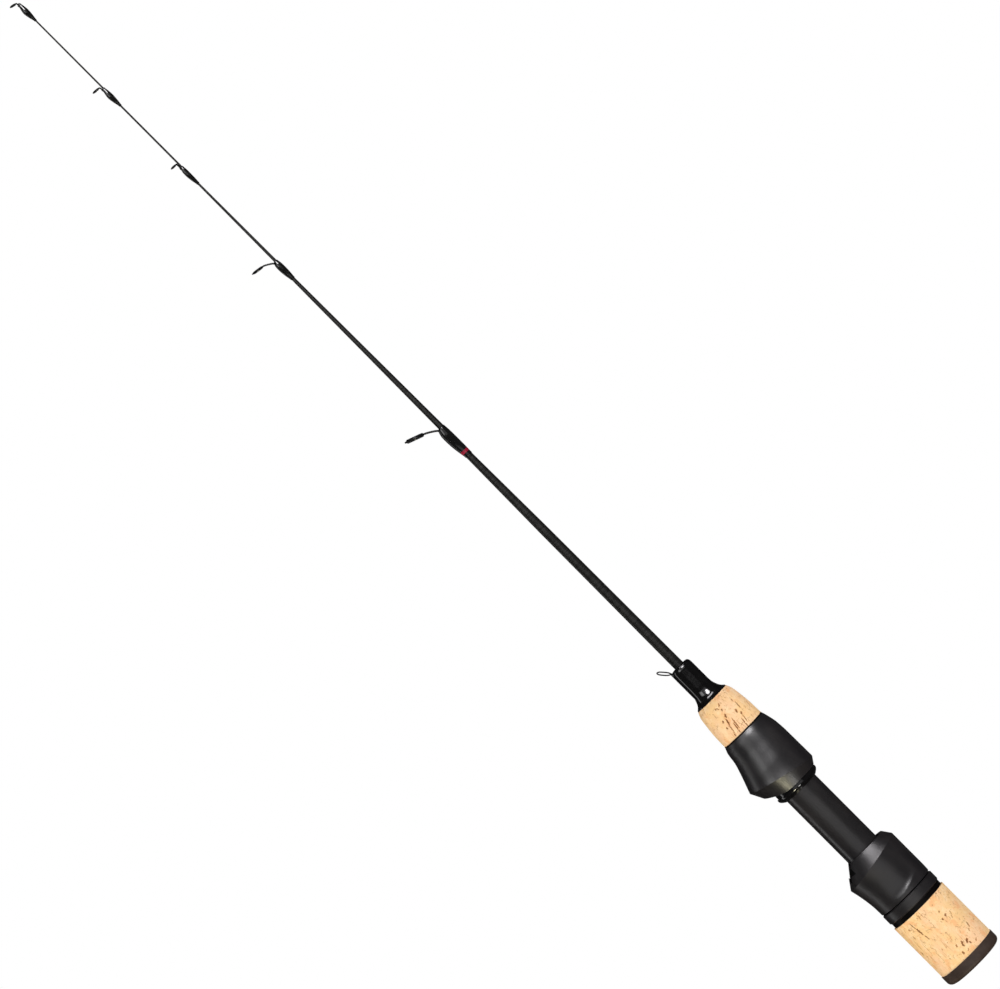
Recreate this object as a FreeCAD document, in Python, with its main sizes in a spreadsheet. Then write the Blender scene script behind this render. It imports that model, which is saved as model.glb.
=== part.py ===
import FreeCAD, Part
import math
import os

import Sketcher
from FreeCAD import Placement, Rotation, Vector

# Ice fishing rod, millimetres. +X runs from the butt to the tip along the rod's axis,
# +Z is the back of the rod, and the reel and the line guides are on -Z.
# The origin is the centre of the butt cap's flat rear face.

SIZES = {
    # butt cap and rear grip
    "cap_end": 5.9, "cap_radius": 15.1, "cap_rounding": 2.2,
    "rear_grip_end": 35.7, "rear_grip_radius": 14.8,
    "rear_trim_end": 38.0, "rear_trim_radius": 14.1,
    # blank: its parallel part in the handle, then the places where its taper changes
    "blank_end": 598.4, "blank_radius": 2.45, "blank_tip_radius": 0.35,
    "blank_bore": 1.2, "blank_bore_end": 300.0,
    "taper_start": 186.0, "taper_middle": 270.0, "taper_middle_radius": 2.15,
    "taper_bend": 383.0, "taper_bend_radius": 1.10,
    # reel seat tube, with its thread and keyway under the sliding hood
    "tube_start": 30.0, "tube_end": 144.8, "tube_radius": 8.64, "tube_bore": 7.0,
    "thread_start": 38.6, "thread_pitch": 2.0, "thread_turns": 9, "thread_depth": 0.6,
    "thread_crest": 0.7,
    "keyway_start": 46.0, "keyway_end": 64.5, "keyway_width": 3.0, "keyway_floor": 7.5,
    "arbor_length": 12.0,
    # lock ring and the snap spigot that holds it to the sliding hood
    "ring_start": 38.1, "ring_end": 43.3, "ring_radius": 14.6, "slide_bore": 8.74,
    "spigot_radius": 11.0, "spigot_lip": 11.6, "spigot_neck_end": 45.4, "spigot_end": 46.4,
    "snap_gap": 0.25,
    # sliding hood
    "hood_start": 43.6, "hood_radius": 14.5, "hood_rear_radius": 14.3,
    "hood_waist": 48.0, "hood_waist_reel": 14.45, "hood_swell": 54.5, "hood_swell_reel": 15.2,
    "hood_edge_back": 66.7, "hood_edge_reel": 61.2, "hood_edge_radius": 16.6,
    "hood_mouth": 70.7, "hood_mouth_back": 11.7, "hood_mouth_reel": 9.8, "hood_rim_wall": 0.45,
    "hood_hollow_start": 57.0,
    "slot_start": 53.0, "slot_deep": 58.0, "slot_half_width": 5.0,
    "slot_floor": 11.0, "slot_ceiling": 13.1, "liner_wall": 0.8,
    "lip_start": 65.9, "lip_depth": 9.6,
    "key_start": 48.5, "key_end": 52.5, "key_width": 2.8, "key_bottom": 7.65, "key_top": 10.6,
    # front collar and front hood
    "collar_start": 109.2, "collar_end": 128.0, "collar_radius": 10.75,
    "flange_radius": 11.4, "flange_end": 112.3, "flange_rounding": 1.6,
    "mouth_start": 112.7, "mouth_back": 11.5, "mouth_reel": 12.6,
    "mouth_edge_back": 115.8, "mouth_edge_reel": 123.1,
    "mouth_edge_radius": 13.65, "mouth_edge_reel_radius": 17.85,
    "swell_station": 126.2, "swell_back": 13.55, "swell_reel": 16.75,
    "middle_station": 132.4, "middle_back": 13.45, "middle_reel": 14.55,
    "shoulder_station": 137.5, "shoulder_back": 13.1, "shoulder_reel": 13.05,
    "front_station": 142.5, "front_back": 12.1, "front_reel": 12.3,
    "front_radius": 11.45, "arch_radius": 17.0, "arch_end": 117.2,
    "pocket_mouth": 13.4, "pocket_floor": 12.0, "pocket_length": 15.3,
    # front trim ring, fore grip and nose cone
    "front_trim_end": 145.5, "front_trim_radius": 11.3,
    "fore_radius": 11.15, "fore_waist": 152.0, "fore_waist_radius": 10.95,
    "fore_curve": 158.0, "fore_curve_radius": 10.35,
    "fore_shoulder": 161.7, "fore_shoulder_radius": 9.8,
    "fore_end": 164.8, "fore_end_radius": 8.6,
    "cone_foot_radius": 8.45, "cone_flare": 166.4, "cone_flare_radius": 7.4,
    "cone_waist": 168.4, "cone_waist_radius": 6.1, "cone_neck": 171.0, "cone_radius": 5.3,
    "cone_end": 185.3, "cone_rounding": 0.8,
    "ridge_start": 168.5, "ridge_end": 184.9, "ridge_radius": 1.9, "ridge_drop": 3.7,
    # hook keeper: a wire loop whose two legs lie under the ridge of the nose cone
    "keeper_wire": 0.30, "keeper_half_gap": 0.95, "keeper_drop": 4.55, "keeper_heel": 172.0,
    "keeper_bend": 184.4, "keeper_reach": 7.2, "keeper_angle": 41.0, "keeper_twist": 30.0,
    # what all line guides share
    "epoxy_wall": 0.11, "epoxy_overrun": 0.6, "wrap_step": 0.25,
    "trim_band_start": 318.4, "trim_band_width": 1.5,
}

# Each line guide: where its foot lies on the blank, the blank's radius under both ends of the
# foot, the ring's outer radius, place, drop below the axis and lean, how far the wrap stands
# proud at the back and on the reel side, the hoop's thickness and rim, the leg's section and
# the thickness of the ceramic ring.
GUIDE_NAMES = ("heel", "root", "heel_radius", "root_radius", "ring", "ring_x", "ring_drop", "lean",
               "back_proud", "reel_proud", "thickness", "rim", "leg", "leg_width", "insert")
GUIDES = {
    "guide_1": (317.2, 333.6, 1.66, 1.43, 5.05, 338.75, 11.65, 20.0,
                0.20, 1.35, 0.9, 0.75, 0.8, 1.8, 2.0),
    "guide_2": (427.2, 437.2, 0.86, 0.72, 3.30, 440.30, 8.35, 8.5,
                0.40, 0.90, 0.7, 0.60, 0.6, 1.3, 1.2),
    "guide_3": (486.4, 496.0, 0.50, 0.45, 1.70, 498.90, 2.45, 2.0,
                0.20, 0.85, 0.7, 0.40, 0.5, 1.0, 1.0),
    "guide_4": (535.0, 545.0, 0.42, 0.40, 1.95, 546.90, 3.00, 4.0,
                0.49, 1.01, 0.7, 0.42, 0.5, 1.0, 1.0),
    "tip_top": (588.0, 597.4, 0.37, 0.36, 1.75, 599.35, 2.40, 12.0,
                0.55, 1.11, 0.7, 0.40, 0.5, 1.0, 1.0),
}
for guide, numbers in GUIDES.items():
    for word, number in zip(GUIDE_NAMES, numbers):
        SIZES[guide + "_" + word] = number
    lean = math.radians(SIZES[guide + "_lean"])
    # the point of the leaning hoop that is nearest to the blank, where the leg joins it
    SIZES[guide + "_hoop_x"] = round(numbers[5] - numbers[4] * math.sin(lean), 3)
    SIZES[guide + "_hoop_drop"] = round(numbers[6] - numbers[4] * math.cos(lean), 3)

doc = FreeCAD.newDocument("ice_fishing_rod")
nodes = {}


# ---------------------------------------------------------------- sizes and expressions

def make_sheet():
    """Spreadsheet with one alias for each driving dimension."""
    sheet = doc.addObject("Spreadsheet::Sheet", "Sizes")
    for row, (name, number) in enumerate(SIZES.items(), start=1):
        sheet.set("A%d" % row, name)
        sheet.set("B%d" % row, str(number))
        sheet.setAlias("B%d" % row, name)
    doc.recompute()
    return sheet


def value(text):
    """Number that a sum of products of sizes stands for, such as 'cap_end - 2 * rim'."""
    total = 0.0
    for term in text.replace(" - ", " + -1 * ").split(" + "):
        product = 1.0
        for factor in term.split(" * "):
            product *= SIZES[factor] if factor in SIZES else float(factor)
        total += product
    return total


def bound(text):
    """The same sum written as a document expression on the sheet's aliases."""
    return " ".join("Sizes." + word if word in SIZES else word for word in text.split())


# ---------------------------------------------------------------- sketches and bodies

def new_body(name):
    body = doc.addObject("PartDesign::Body", name)
    body.Label = name
    return body


def new_sketch(body, name, plane):
    """Sketch on one of the body's own origin planes."""
    sketch = body.newObject("Sketcher::SketchObject", name)
    support = [item for item in body.Origin.OriginFeatures if item.Role == plane][0]
    sketch.AttachmentSupport = (support, "")
    sketch.MapMode = "FlatFace"
    return sketch


def pin(sketch, geometry, point, across, up):
    """Fix a point of the sketch at two distances from its origin, bound to the sheet."""
    for kind, text in (("DistanceX", across), ("DistanceY", up)):
        number = value(text)
        if abs(number) < 1e-9:
            axis = -2 if kind == "DistanceX" else -1
            sketch.addConstraint(Sketcher.Constraint("PointOnObject", geometry, point, axis))
            continue
        index = sketch.addConstraint(
            Sketcher.Constraint(kind, -1, 1, geometry, point, number))
        sketch.setExpression("Constraints[%d]" % index, bound(text))


def outline(sketch, points):
    """Closed outline of straight lines through points, each a pair of size texts."""
    corners = [Vector(value(x), value(y), 0) for x, y in points]
    count = len(corners)
    for index in range(count):
        sketch.addGeometry(Part.LineSegment(corners[index], corners[(index + 1) % count]), False)
    for index in range(count):
        sketch.addConstraint(
            Sketcher.Constraint("Coincident", index, 2, (index + 1) % count, 1))
    for index, (x, y) in enumerate(points):
        pin(sketch, index, 1, x, y)


def turned(name, points):
    """Body of revolution about X from an outline of (x, radius) points."""
    body = new_body(name)
    sketch = new_sketch(body, name + "_outline", "XZ_Plane")
    outline(sketch, points)
    spin = body.newObject("PartDesign::Revolution", name + "_turning")
    spin.Profile = sketch
    spin.ReferenceAxis = (sketch, ["H_Axis"])
    spin.Angle = 360
    sketch.Visibility = False
    return body


def extrude(body, name, kind, plane, points, length):
    """Pad or pocket of an outline, the same distance to both sides of its plane."""
    sketch = new_sketch(body, name + "_outline", plane)
    outline(sketch, points)
    feature = body.newObject("PartDesign::" + kind, name)
    feature.Profile = sketch
    feature.SideType = "Symmetric"
    feature.setExpression("Length", bound(length))
    return feature


def slab(name, x_range, y_half, z_range):
    """Rectangular block as a body, used to cut or to keep part of another piece."""
    body = new_body(name)
    (x0, x1), (z0, z1) = x_range, z_range
    extrude(body, name + "_pad", "Pad", "XZ_Plane",
            [(x0, z0), (x1, z0), (x1, z1), (x0, z1)], "2 * " + y_half)
    return body


def ring_section(body, name, back, reel):
    """Circle through a point (x, radius) on the back and one on the reel side.

    The circle lies in the plane through both points, so it is tilted when their x differ.
    """
    (x1, high), (x2, low) = back, reel
    sketch = new_sketch(body, name, "YZ_Plane")
    rise = value(x1) - value(x2)
    span = value(high) + value(low)
    sketch.AttachmentOffset = Placement(
        Vector(0, (value(high) - value(low)) / 2, (value(x1) + value(x2)) / 2),
        Rotation(Vector(1, 0, 0), math.degrees(math.atan2(rise, span))))
    high, low, x1, x2 = ("(" + bound(text) + ")" for text in (high, low, x1, x2))
    sketch.setExpression(".AttachmentOffset.Base.y", "(%s - %s) / 2" % (high, low))
    sketch.setExpression(".AttachmentOffset.Base.z", "(%s + %s) / 2" % (x1, x2))
    if rise:
        sketch.setExpression(".AttachmentOffset.Rotation.Angle",
                             "atan((%s - %s) / (%s + %s))" % (x1, x2, high, low))
    radius = math.hypot(rise, span) / 2
    sketch.addGeometry(Part.Circle(Vector(0, 0, 0), Vector(0, 0, 1), radius), False)
    sketch.addConstraint(Sketcher.Constraint("Coincident", 0, 3, -1, 1))
    index = sketch.addConstraint(Sketcher.Constraint("Radius", 0, radius))
    sketch.setExpression("Constraints[%d]" % index,
                         "sqrt((%s - %s)^2 + (%s + %s)^2) / 2" % (x1, x2, high, low))
    return sketch


def loft(body, name, kind, sections, ruled=False):
    """Additive or subtractive loft through the sections in order."""
    feature = body.newObject("PartDesign::" + kind, name)
    feature.Profile = sections[0]
    feature.Sections = sections[1:]
    feature.Ruled = ruled
    return feature


def groove(body, name, points):
    """Annular cut about X."""
    sketch = new_sketch(body, name + "_outline", "XZ_Plane")
    outline(sketch, points)
    cut = body.newObject("PartDesign::Groove", name)
    cut.Profile = sketch
    cut.ReferenceAxis = (sketch, ["H_Axis"])
    cut.Angle = 360
    return cut


def place(thing, x, z, angle):
    """Placement in the rod's side plane: along X, along Z, and turned about Y."""
    thing.Placement = Placement(Vector(value(x), 0, value(z)),
                                Rotation(Vector(0, 1, 0), value(angle)))
    thing.setExpression(".Placement.Base.x", bound(x))
    thing.setExpression(".Placement.Base.z", bound(z))
    thing.setExpression(".Placement.Rotation.Angle", bound(angle))


def boolean(name, kind, base, *tools):
    """Part::Cut or Part::Common of a base and each tool in turn; the last takes the name."""
    for step, tool in enumerate(tools, start=1):
        last = step == len(tools)
        joined = doc.addObject("Part::" + kind, name if last else "%s_step_%d" % (name, step))
        joined.Base = base
        joined.Tool = tool
        base = joined
    base.Label = name
    return base


def keep(thing):
    """Add a finished sub-part to the list of nodes."""
    nodes[thing.Label] = thing
    return thing


# ---------------------------------------------------------------- blank and grips

def make_blank():
    """Graphite blank: parallel in the handle, tapered to the tip, hollow in its butt half."""
    points = [("cap_end", "blank_bore"), ("cap_end", "blank_radius"),
              ("taper_start", "blank_radius"), ("taper_middle", "taper_middle_radius"),
              ("guide_1_heel", "guide_1_heel_radius"), ("guide_1_root", "guide_1_root_radius"),
              ("taper_bend", "taper_bend_radius")]
    for guide in ("guide_2", "guide_3", "guide_4"):
        points += [(guide + "_heel", guide + "_heel_radius"),
                   (guide + "_root", guide + "_root_radius")]
    points += [("tip_top_heel", "tip_top_heel_radius"), ("blank_end", "blank_tip_radius"),
               ("blank_end", "0"), ("blank_bore_end", "0"), ("blank_bore_end", "blank_bore")]
    return keep(turned("blank", points))


def edge_names(feature, wanted):
    """Names of the feature's edges whose bounding boxes pass a test."""
    return ["Edge%d" % number for number, edge in enumerate(feature.Shape.Edges, start=1)
            if wanted(edge.BoundBox)]


def make_butt_cap():
    cap = turned("butt_cap", [("0", "0"), ("cap_end", "0"), ("cap_end", "cap_radius"),
                              ("0", "cap_radius")])
    doc.recompute()
    disc = cap.Tip
    rim = edge_names(disc, lambda box: box.XMax < 0.01)
    rounding = cap.newObject("PartDesign::Fillet", "cap_edge")
    rounding.Base = (disc, rim)
    rounding.setExpression("Radius", bound("cap_rounding"))
    return keep(cap)


def make_rear_grip():
    """Cork sleeve: bored for the blank and counterbored for the end of the seat tube."""
    return keep(turned("rear_grip", [
        ("cap_end", "blank_radius"), ("cap_end", "rear_grip_radius"),
        ("rear_grip_end", "rear_grip_radius"), ("rear_grip_end", "tube_radius"),
        ("tube_start", "tube_radius"), ("tube_start", "blank_radius")]))


def make_fore_grip():
    return keep(turned("fore_grip", [
        ("front_trim_end", "blank_radius"), ("front_trim_end", "fore_radius"),
        ("fore_waist", "fore_waist_radius"), ("fore_curve", "fore_curve_radius"),
        ("fore_shoulder", "fore_shoulder_radius"), ("fore_end", "fore_end_radius"),
        ("fore_end", "blank_radius")]))


def make_sleeve(name, start, end, outer, inner):
    """Plain ring or bush between two stations."""
    return keep(turned(name, [(start, inner), (start, outer), (end, outer), (end, inner)]))


# ---------------------------------------------------------------- reel seat

def make_seat_tube():
    """Reel seat tube with annular thread grooves and a keyway along its back."""
    tube = turned("seat_tube", [("tube_start", "tube_bore"), ("tube_start", "tube_radius"),
                                ("tube_end", "tube_radius"), ("tube_end", "tube_bore")])
    root = "tube_radius - thread_depth"
    over = "tube_radius + 0.5"
    half_flank = "0.35"
    first = groove(tube, "thread_groove", [
        ("thread_start", over), ("thread_start", "tube_radius"),
        ("thread_start + " + half_flank, root),
        ("thread_start + thread_pitch - thread_crest - " + half_flank, root),
        ("thread_start + thread_pitch - thread_crest", "tube_radius"),
        ("thread_start + thread_pitch - thread_crest", over)])
    pattern = tube.newObject("PartDesign::LinearPattern", "thread")
    pattern.Originals = [first]
    pattern.Direction = (tube.Origin.OriginFeatures[0], [""])
    pattern.setExpression("Length", bound("thread_pitch * thread_turns - thread_pitch"))
    pattern.Occurrences = int(value("thread_turns"))
    tube.Tip = pattern
    extrude(tube, "keyway", "Pocket", "XZ_Plane", [
        ("keyway_start", "keyway_floor"), ("keyway_end", "keyway_floor"),
        ("keyway_end", "tube_radius + 1"), ("keyway_start", "tube_radius + 1")], "keyway_width")
    return keep(tube)


def make_lock_ring():
    """Threaded ring with a snap spigot that turns inside the back of the sliding hood."""
    return keep(turned("lock_ring", [
        ("ring_start", "slide_bore"), ("ring_start", "ring_radius - 0.3"),
        ("ring_start + 0.3", "ring_radius"), ("ring_end - 0.3", "ring_radius"),
        ("ring_end", "ring_radius - 0.3"), ("ring_end", "spigot_radius"),
        ("spigot_neck_end", "spigot_radius"), ("spigot_neck_end", "spigot_lip"),
        ("spigot_end", "spigot_lip"), ("spigot_end", "slide_bore")]))


def sliding_hood_form():
    """Outside of the sliding hood: a swollen barrel and a slanted cone down to its mouth."""
    body = new_body("sliding_hood_form")
    sections = [
        ring_section(body, "hood_rear", ("hood_start", "hood_rear_radius"),
                     ("hood_start", "hood_rear_radius")),
        ring_section(body, "hood_waist_ring", ("hood_waist", "hood_radius"),
                     ("hood_waist", "hood_waist_reel")),
        ring_section(body, "hood_swell_ring", ("hood_swell", "hood_radius"),
                     ("hood_swell", "hood_swell_reel")),
        ring_section(body, "hood_edge", ("hood_edge_back", "hood_radius"),
                     ("hood_edge_reel", "hood_edge_radius"))]
    mouth = ring_section(body, "hood_mouth_ring", ("hood_mouth", "hood_mouth_back"),
                         ("hood_mouth", "hood_mouth_reel"))
    loft(body, "hood_barrel", "AdditiveLoft", sections + [mouth], ruled=True)
    return body


def sliding_hood_hollow():
    """Everything that is open inside the sliding hood, as one solid to cut with."""
    body = turned("sliding_hood_hollow", [
        ("hood_start - 1", "0"), ("hood_start - 1", "spigot_radius + snap_gap"),
        ("spigot_neck_end - snap_gap", "spigot_radius + snap_gap"),
        ("spigot_neck_end - snap_gap", "spigot_lip + snap_gap"),
        ("spigot_end + snap_gap", "spigot_lip + snap_gap"),
        ("spigot_end + snap_gap", "slide_bore"), ("hood_mouth + 1", "slide_bore"),
        ("hood_mouth + 1", "0")])
    deep = ring_section(body, "hollow_end", ("hood_hollow_start", "slide_bore + 0.3"),
                        ("hood_hollow_start", "slide_bore + 0.1"))
    wide = ring_section(body, "hollow_mouth", ("hood_mouth", "hood_mouth_back - hood_rim_wall"),
                        ("hood_mouth", "hood_mouth_reel - hood_rim_wall"))
    past = ring_section(body, "hollow_past",
                        ("hood_mouth + 1", "hood_mouth_back - hood_rim_wall"),
                        ("hood_mouth + 1", "hood_mouth_reel - hood_rim_wall"))
    loft(body, "hollow_flare", "AdditiveLoft", [deep, wide], ruled=True)
    loft(body, "hollow_exit", "AdditiveLoft", [wide, past], ruled=True)
    return body


def foot_slot(name, wall):
    """Slot for the reel's foot in the sliding hood, or the larger one that its liner fills."""
    body = new_body(name)
    extrude(body, name + "_pad", "Pad", "XZ_Plane", [
        ("slot_start - " + wall, "-1 * tube_radius + 1"),
        ("hood_mouth + 1", "-1 * tube_radius + 1"),
        ("hood_mouth + 1", "-1 * slot_ceiling - " + wall),
        ("slot_deep", "-1 * slot_ceiling - " + wall),
        ("slot_start - " + wall, "-1 * slot_floor - " + wall)],
        "2 * slot_half_width + 2 * " + wall)
    return body


def make_sliding_hood():
    """Hood shell, the dark liner of its foot slot, and the key that stops it turning."""
    form = sliding_hood_form()
    hollow = sliding_hood_hollow()
    slot = foot_slot("foot_slot", "0")
    lined = foot_slot("lined_slot", "liner_wall")
    lip = slab("liner_lip", ("lip_start", "hood_mouth + 1"), "hood_edge_radius",
               ("-1 * hood_edge_radius - 1", "-1 * lip_depth"))
    liner_block = doc.addObject("Part::MultiFuse", "liner_block")
    liner_block.Shapes = [lined, lip]
    key = slab("hood_key", ("key_start", "key_end"), "0.5 * key_width",
               ("key_bottom", "key_top"))
    keep(boolean("sliding_hood", "Cut", form, hollow, liner_block, key))
    inside = boolean("liner_blank", "Common", form, liner_block)
    keep(boolean("hood_liner", "Cut", inside, hollow, slot))
    keep(key)


def make_front_collar():
    """Sleeve glued to the seat tube, with a rounded flange that the reel's foot rests on."""
    return keep(turned("front_collar", [
        ("collar_start", "tube_radius"), ("collar_start", "tube_radius + 0.5"),
        ("collar_start + 0.7", "flange_radius - 1.2"),
        ("collar_start + flange_rounding", "flange_radius - 0.3"),
        ("collar_start + flange_rounding + 0.8", "flange_radius"),
        ("flange_end", "flange_radius"), ("flange_end", "collar_radius"),
        ("collar_end", "collar_radius"), ("collar_end", "tube_radius")]))


def make_front_hood():
    """Fixed hood: a swollen barrel, a slanted cone at the mouth and a pocket for the foot."""
    hood = new_body("front_hood")
    stations = [("tube_end", "front_radius", "front_radius"),
                ("front_station", "front_back", "front_reel"),
                ("shoulder_station", "shoulder_back", "shoulder_reel"),
                ("middle_station", "middle_back", "middle_reel"),
                ("swell_station", "swell_back", "swell_reel")]
    sections = [ring_section(hood, "front_ring_%d" % number, (x, back), (x, reel))
                for number, (x, back, reel) in enumerate(stations, start=1)]
    sections.append(ring_section(hood, "front_edge", ("mouth_edge_back", "mouth_edge_radius"),
                                 ("mouth_edge_reel", "mouth_edge_reel_radius")))
    mouth = ring_section(hood, "front_mouth", ("mouth_start", "mouth_back"),
                         ("mouth_start", "mouth_reel"))
    loft(hood, "front_barrel", "AdditiveLoft", sections + [mouth], ruled=True)
    groove(hood, "front_bore", [
        ("mouth_start - 1", "0"), ("mouth_start - 1", "collar_radius"),
        ("collar_end", "collar_radius"), ("collar_end", "tube_radius"),
        ("tube_end + 1", "tube_radius"), ("tube_end + 1", "0")])
    cut_arch(hood)
    pocket = [ring_section(hood, "pocket_ring_%d" % number, (x, "collar_radius - 0.1"), (x, low))
              for number, (x, low) in enumerate(
                  (("mouth_start - 1", "pocket_mouth"),
                   ("mouth_start + pocket_length", "pocket_floor")), start=1)]
    loft(hood, "foot_pocket", "SubtractiveLoft", pocket, ruled=True)
    return keep(hood)


def cut_arch(hood):
    """Arched notch in the reel side of the front hood's mouth."""
    sketch = new_sketch(hood, "arch_outline", "XY_Plane")
    centre = "arch_end - arch_radius"
    sketch.addGeometry(Part.Circle(Vector(value(centre), 0, 0), Vector(0, 0, 1),
                                   value("arch_radius")), False)
    pin(sketch, 0, 3, centre, "0")
    index = sketch.addConstraint(Sketcher.Constraint("Radius", 0, value("arch_radius")))
    sketch.setExpression("Constraints[%d]" % index, bound("arch_radius"))
    arch = hood.newObject("PartDesign::Pocket", "arch")
    arch.Profile = sketch
    arch.Reversed = False
    arch.setExpression("Length", bound("mouth_edge_reel_radius + 2"))


# ---------------------------------------------------------------- nose cone and hook keeper

def bent_wire(points, bend, radius):
    """Round wire along straight runs joined by tangent arcs of one bend radius."""
    edges = []
    start = points[0]
    for before, corner, after in zip(points, points[1:], points[2:]):
        arrive = (corner - before).normalize()
        leave = (after - corner).normalize()
        turn = arrive.getAngle(leave)
        trim = bend * math.tan(turn / 2)
        first, last = corner - arrive * trim, corner + leave * trim
        inward = (leave - arrive).normalize()
        middle = corner + inward * (bend / math.cos(turn / 2) - bend)
        edges += [Part.LineSegment(start, first).toShape(), Part.Arc(first, middle, last).toShape()]
        start = last
    edges.append(Part.LineSegment(start, points[-1]).toShape())
    path = Part.Wire(edges)
    section = Part.Wire(Part.Circle(points[0], points[1] - points[0], radius).toShape())
    return path.makePipeShell([section], True, True)


def make_hook_keeper(sheet):
    """Wire loop on two legs; its path bends out of one plane, so it is swept by code."""
    gap, drop = sheet.keeper_half_gap, sheet.keeper_drop
    angle, twist = math.radians(sheet.keeper_angle), math.radians(sheet.keeper_twist)
    outward = Vector(math.cos(angle), 0, -math.sin(angle))
    reach = outward * sheet.keeper_reach
    side = Vector(0, gap, 0)
    across = Vector(0, math.cos(twist), 0) + outward.cross(Vector(0, 1, 0)) * math.sin(twist)
    belly, end = across * (gap + 0.45), across * gap
    heel = Vector(sheet.keeper_heel, 0, -drop)
    bend = Vector(sheet.keeper_bend, 0, -drop)
    points = [heel + side, bend + side, bend + reach * 0.55 + belly, bend + reach + end,
              bend + reach - end, bend + reach * 0.55 - belly, bend - side, heel - side]
    keeper = doc.addObject("Part::Feature", "hook_keeper")
    keeper.Shape = bent_wire(points, 0.8, sheet.keeper_wire)
    keeper.Placement = Placement()
    return keep(keeper)


def make_nose_cone(keeper, blank):
    """Flared winding sleeve in front of the fore grip, moulded over the keeper's legs."""
    form = turned("nose_cone_form", [
        ("fore_end", "blank_radius"), ("fore_end", "cone_foot_radius"),
        ("cone_flare", "cone_flare_radius"), ("cone_waist", "cone_waist_radius"),
        ("cone_neck", "cone_radius"), ("cone_end - cone_rounding", "cone_radius"),
        ("cone_end", "cone_radius - cone_rounding"), ("cone_end", "blank_radius")])
    ends = [ring_section(form, "ridge_%d" % number,
                         (x, "ridge_radius - ridge_drop"), (x, "ridge_radius + ridge_drop"))
            for number, x in enumerate(("ridge_start", "ridge_end"), start=1)]
    loft(form, "ridge", "AdditiveLoft", ends, ruled=True)
    return keep(boolean("nose_cone", "Cut", form, keeper, blank))


# ---------------------------------------------------------------- line guides

def make_guide_frame(guide):
    """Stamped frame in one piece: foot on the blank, leaning leg, and hoop for the ring."""
    def own(word):
        return "%s_%s" % (guide, word)

    leg = new_body(guide + "_leg")
    under_heel, under_root = "-1 * " + own("heel_radius"), "-1 * " + own("root_radius")
    hoop_x, hoop_z = own("hoop_x"), "-1 * %s - 0.5 * %s" % (own("hoop_drop"), own("rim"))
    extrude(leg, guide + "_foot", "Pad", "XZ_Plane", [
        (own("heel") + " + 0.8", under_heel),
        (own("root"), under_root),
        (own("root") + " + 0.6 * " + own("leg"), under_root),
        (hoop_x + " + 0.5 * " + own("leg"), hoop_z),
        (hoop_x + " - 0.5 * " + own("leg"), hoop_z),
        (own("root") + " - 0.9 * " + own("leg"), under_root + " - 1.1 * " + own("leg")),
        (own("heel") + " + 2.5", under_heel + " - 0.35 * " + own("leg")),
        (own("heel") + " + 0.8", under_heel + " - 0.15")], own("leg_width"))
    hoop = turned(guide + "_hoop", hoop_outline(guide))
    place(hoop, own("ring_x"), "-1 * " + own("ring_drop"), "-1 * " + own("lean"))
    frame = doc.addObject("Part::MultiFuse", guide + "_frame")
    frame.Shapes = [leg, hoop]
    frame.Label = guide + "_frame"
    return keep(frame)


def hoop_outline(guide):
    half = "0.5 * %s_thickness" % guide
    outer = guide + "_ring"
    inner = "%s_ring - %s_rim" % (guide, guide)
    return [("-1 * " + half, inner), ("-1 * " + half, outer + " - 0.15"),
            ("-0.6 * " + half, outer), ("0.6 * " + half, outer),
            (half, outer + " - 0.15"), (half, inner)]


def make_guide_ring(guide):
    """Ceramic ring pressed into the hoop, with a rounded bore for the line."""
    outer = "%s_ring - %s_rim" % (guide, guide)
    bore = "%s_ring - 2.1 * %s_rim" % (guide, guide)
    half = "0.5 * %s_thickness" % guide
    proud = "0.5 * %s_insert" % guide
    ring = turned(guide + "_ring", [
        ("-1 * " + half, outer), ("-1 * " + proud, outer + " - 0.12"),
        ("-1 * " + proud, bore + " + 0.22"), ("-0.6 * " + half, bore),
        ("0.6 * " + half, bore), (proud, bore + " + 0.22"),
        (proud, outer + " - 0.12"), (half, outer)])
    place(ring, guide + "_ring_x", "-1 * %s_ring_drop" % guide, "-1 * %s_lean" % guide)
    return keep(ring)


def wrap_form(guide, layer, overrun, wall):
    """Spindle over the blank and the foot: the thread wrap, or the epoxy coat over it."""
    body = new_body("%s_%s_form" % (guide, layer))
    heel, root = guide + "_heel", guide + "_root"
    back, reel = guide + "_back_proud", guide + "_reel_proud"
    fullness = ((0.0, 0.0, 0.0), (0.25, 0.60, 0.55), (0.6, 1.0, 1.0), (0.9, 0.66, 0.86),
                (1.0, 0.10, 0.50))
    sections = []
    for number, (along, back_part, reel_part) in enumerate(fullness, start=1):
        reach = (2 * along - 1) * value(overrun)
        x = "%s + %.3f * %s - %.3f * %s + %.3f" % (heel, along, root, along, heel, reach)
        base = "%s_radius + %.3f * %s_radius - %.3f * %s_radius + wrap_step - %s" % (
            heel, along, root, along, heel, wall)
        sections.append(ring_section(
            body, "%s_%s_%d" % (guide, layer, number),
            (x, "%s + %.3f * %s" % (base, back_part, back)),
            (x, "%s + %.3f * %s" % (base, reel_part, reel))))
    loft(body, "%s_%s_spindle" % (guide, layer), "AdditiveLoft", sections)
    return body


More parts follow.
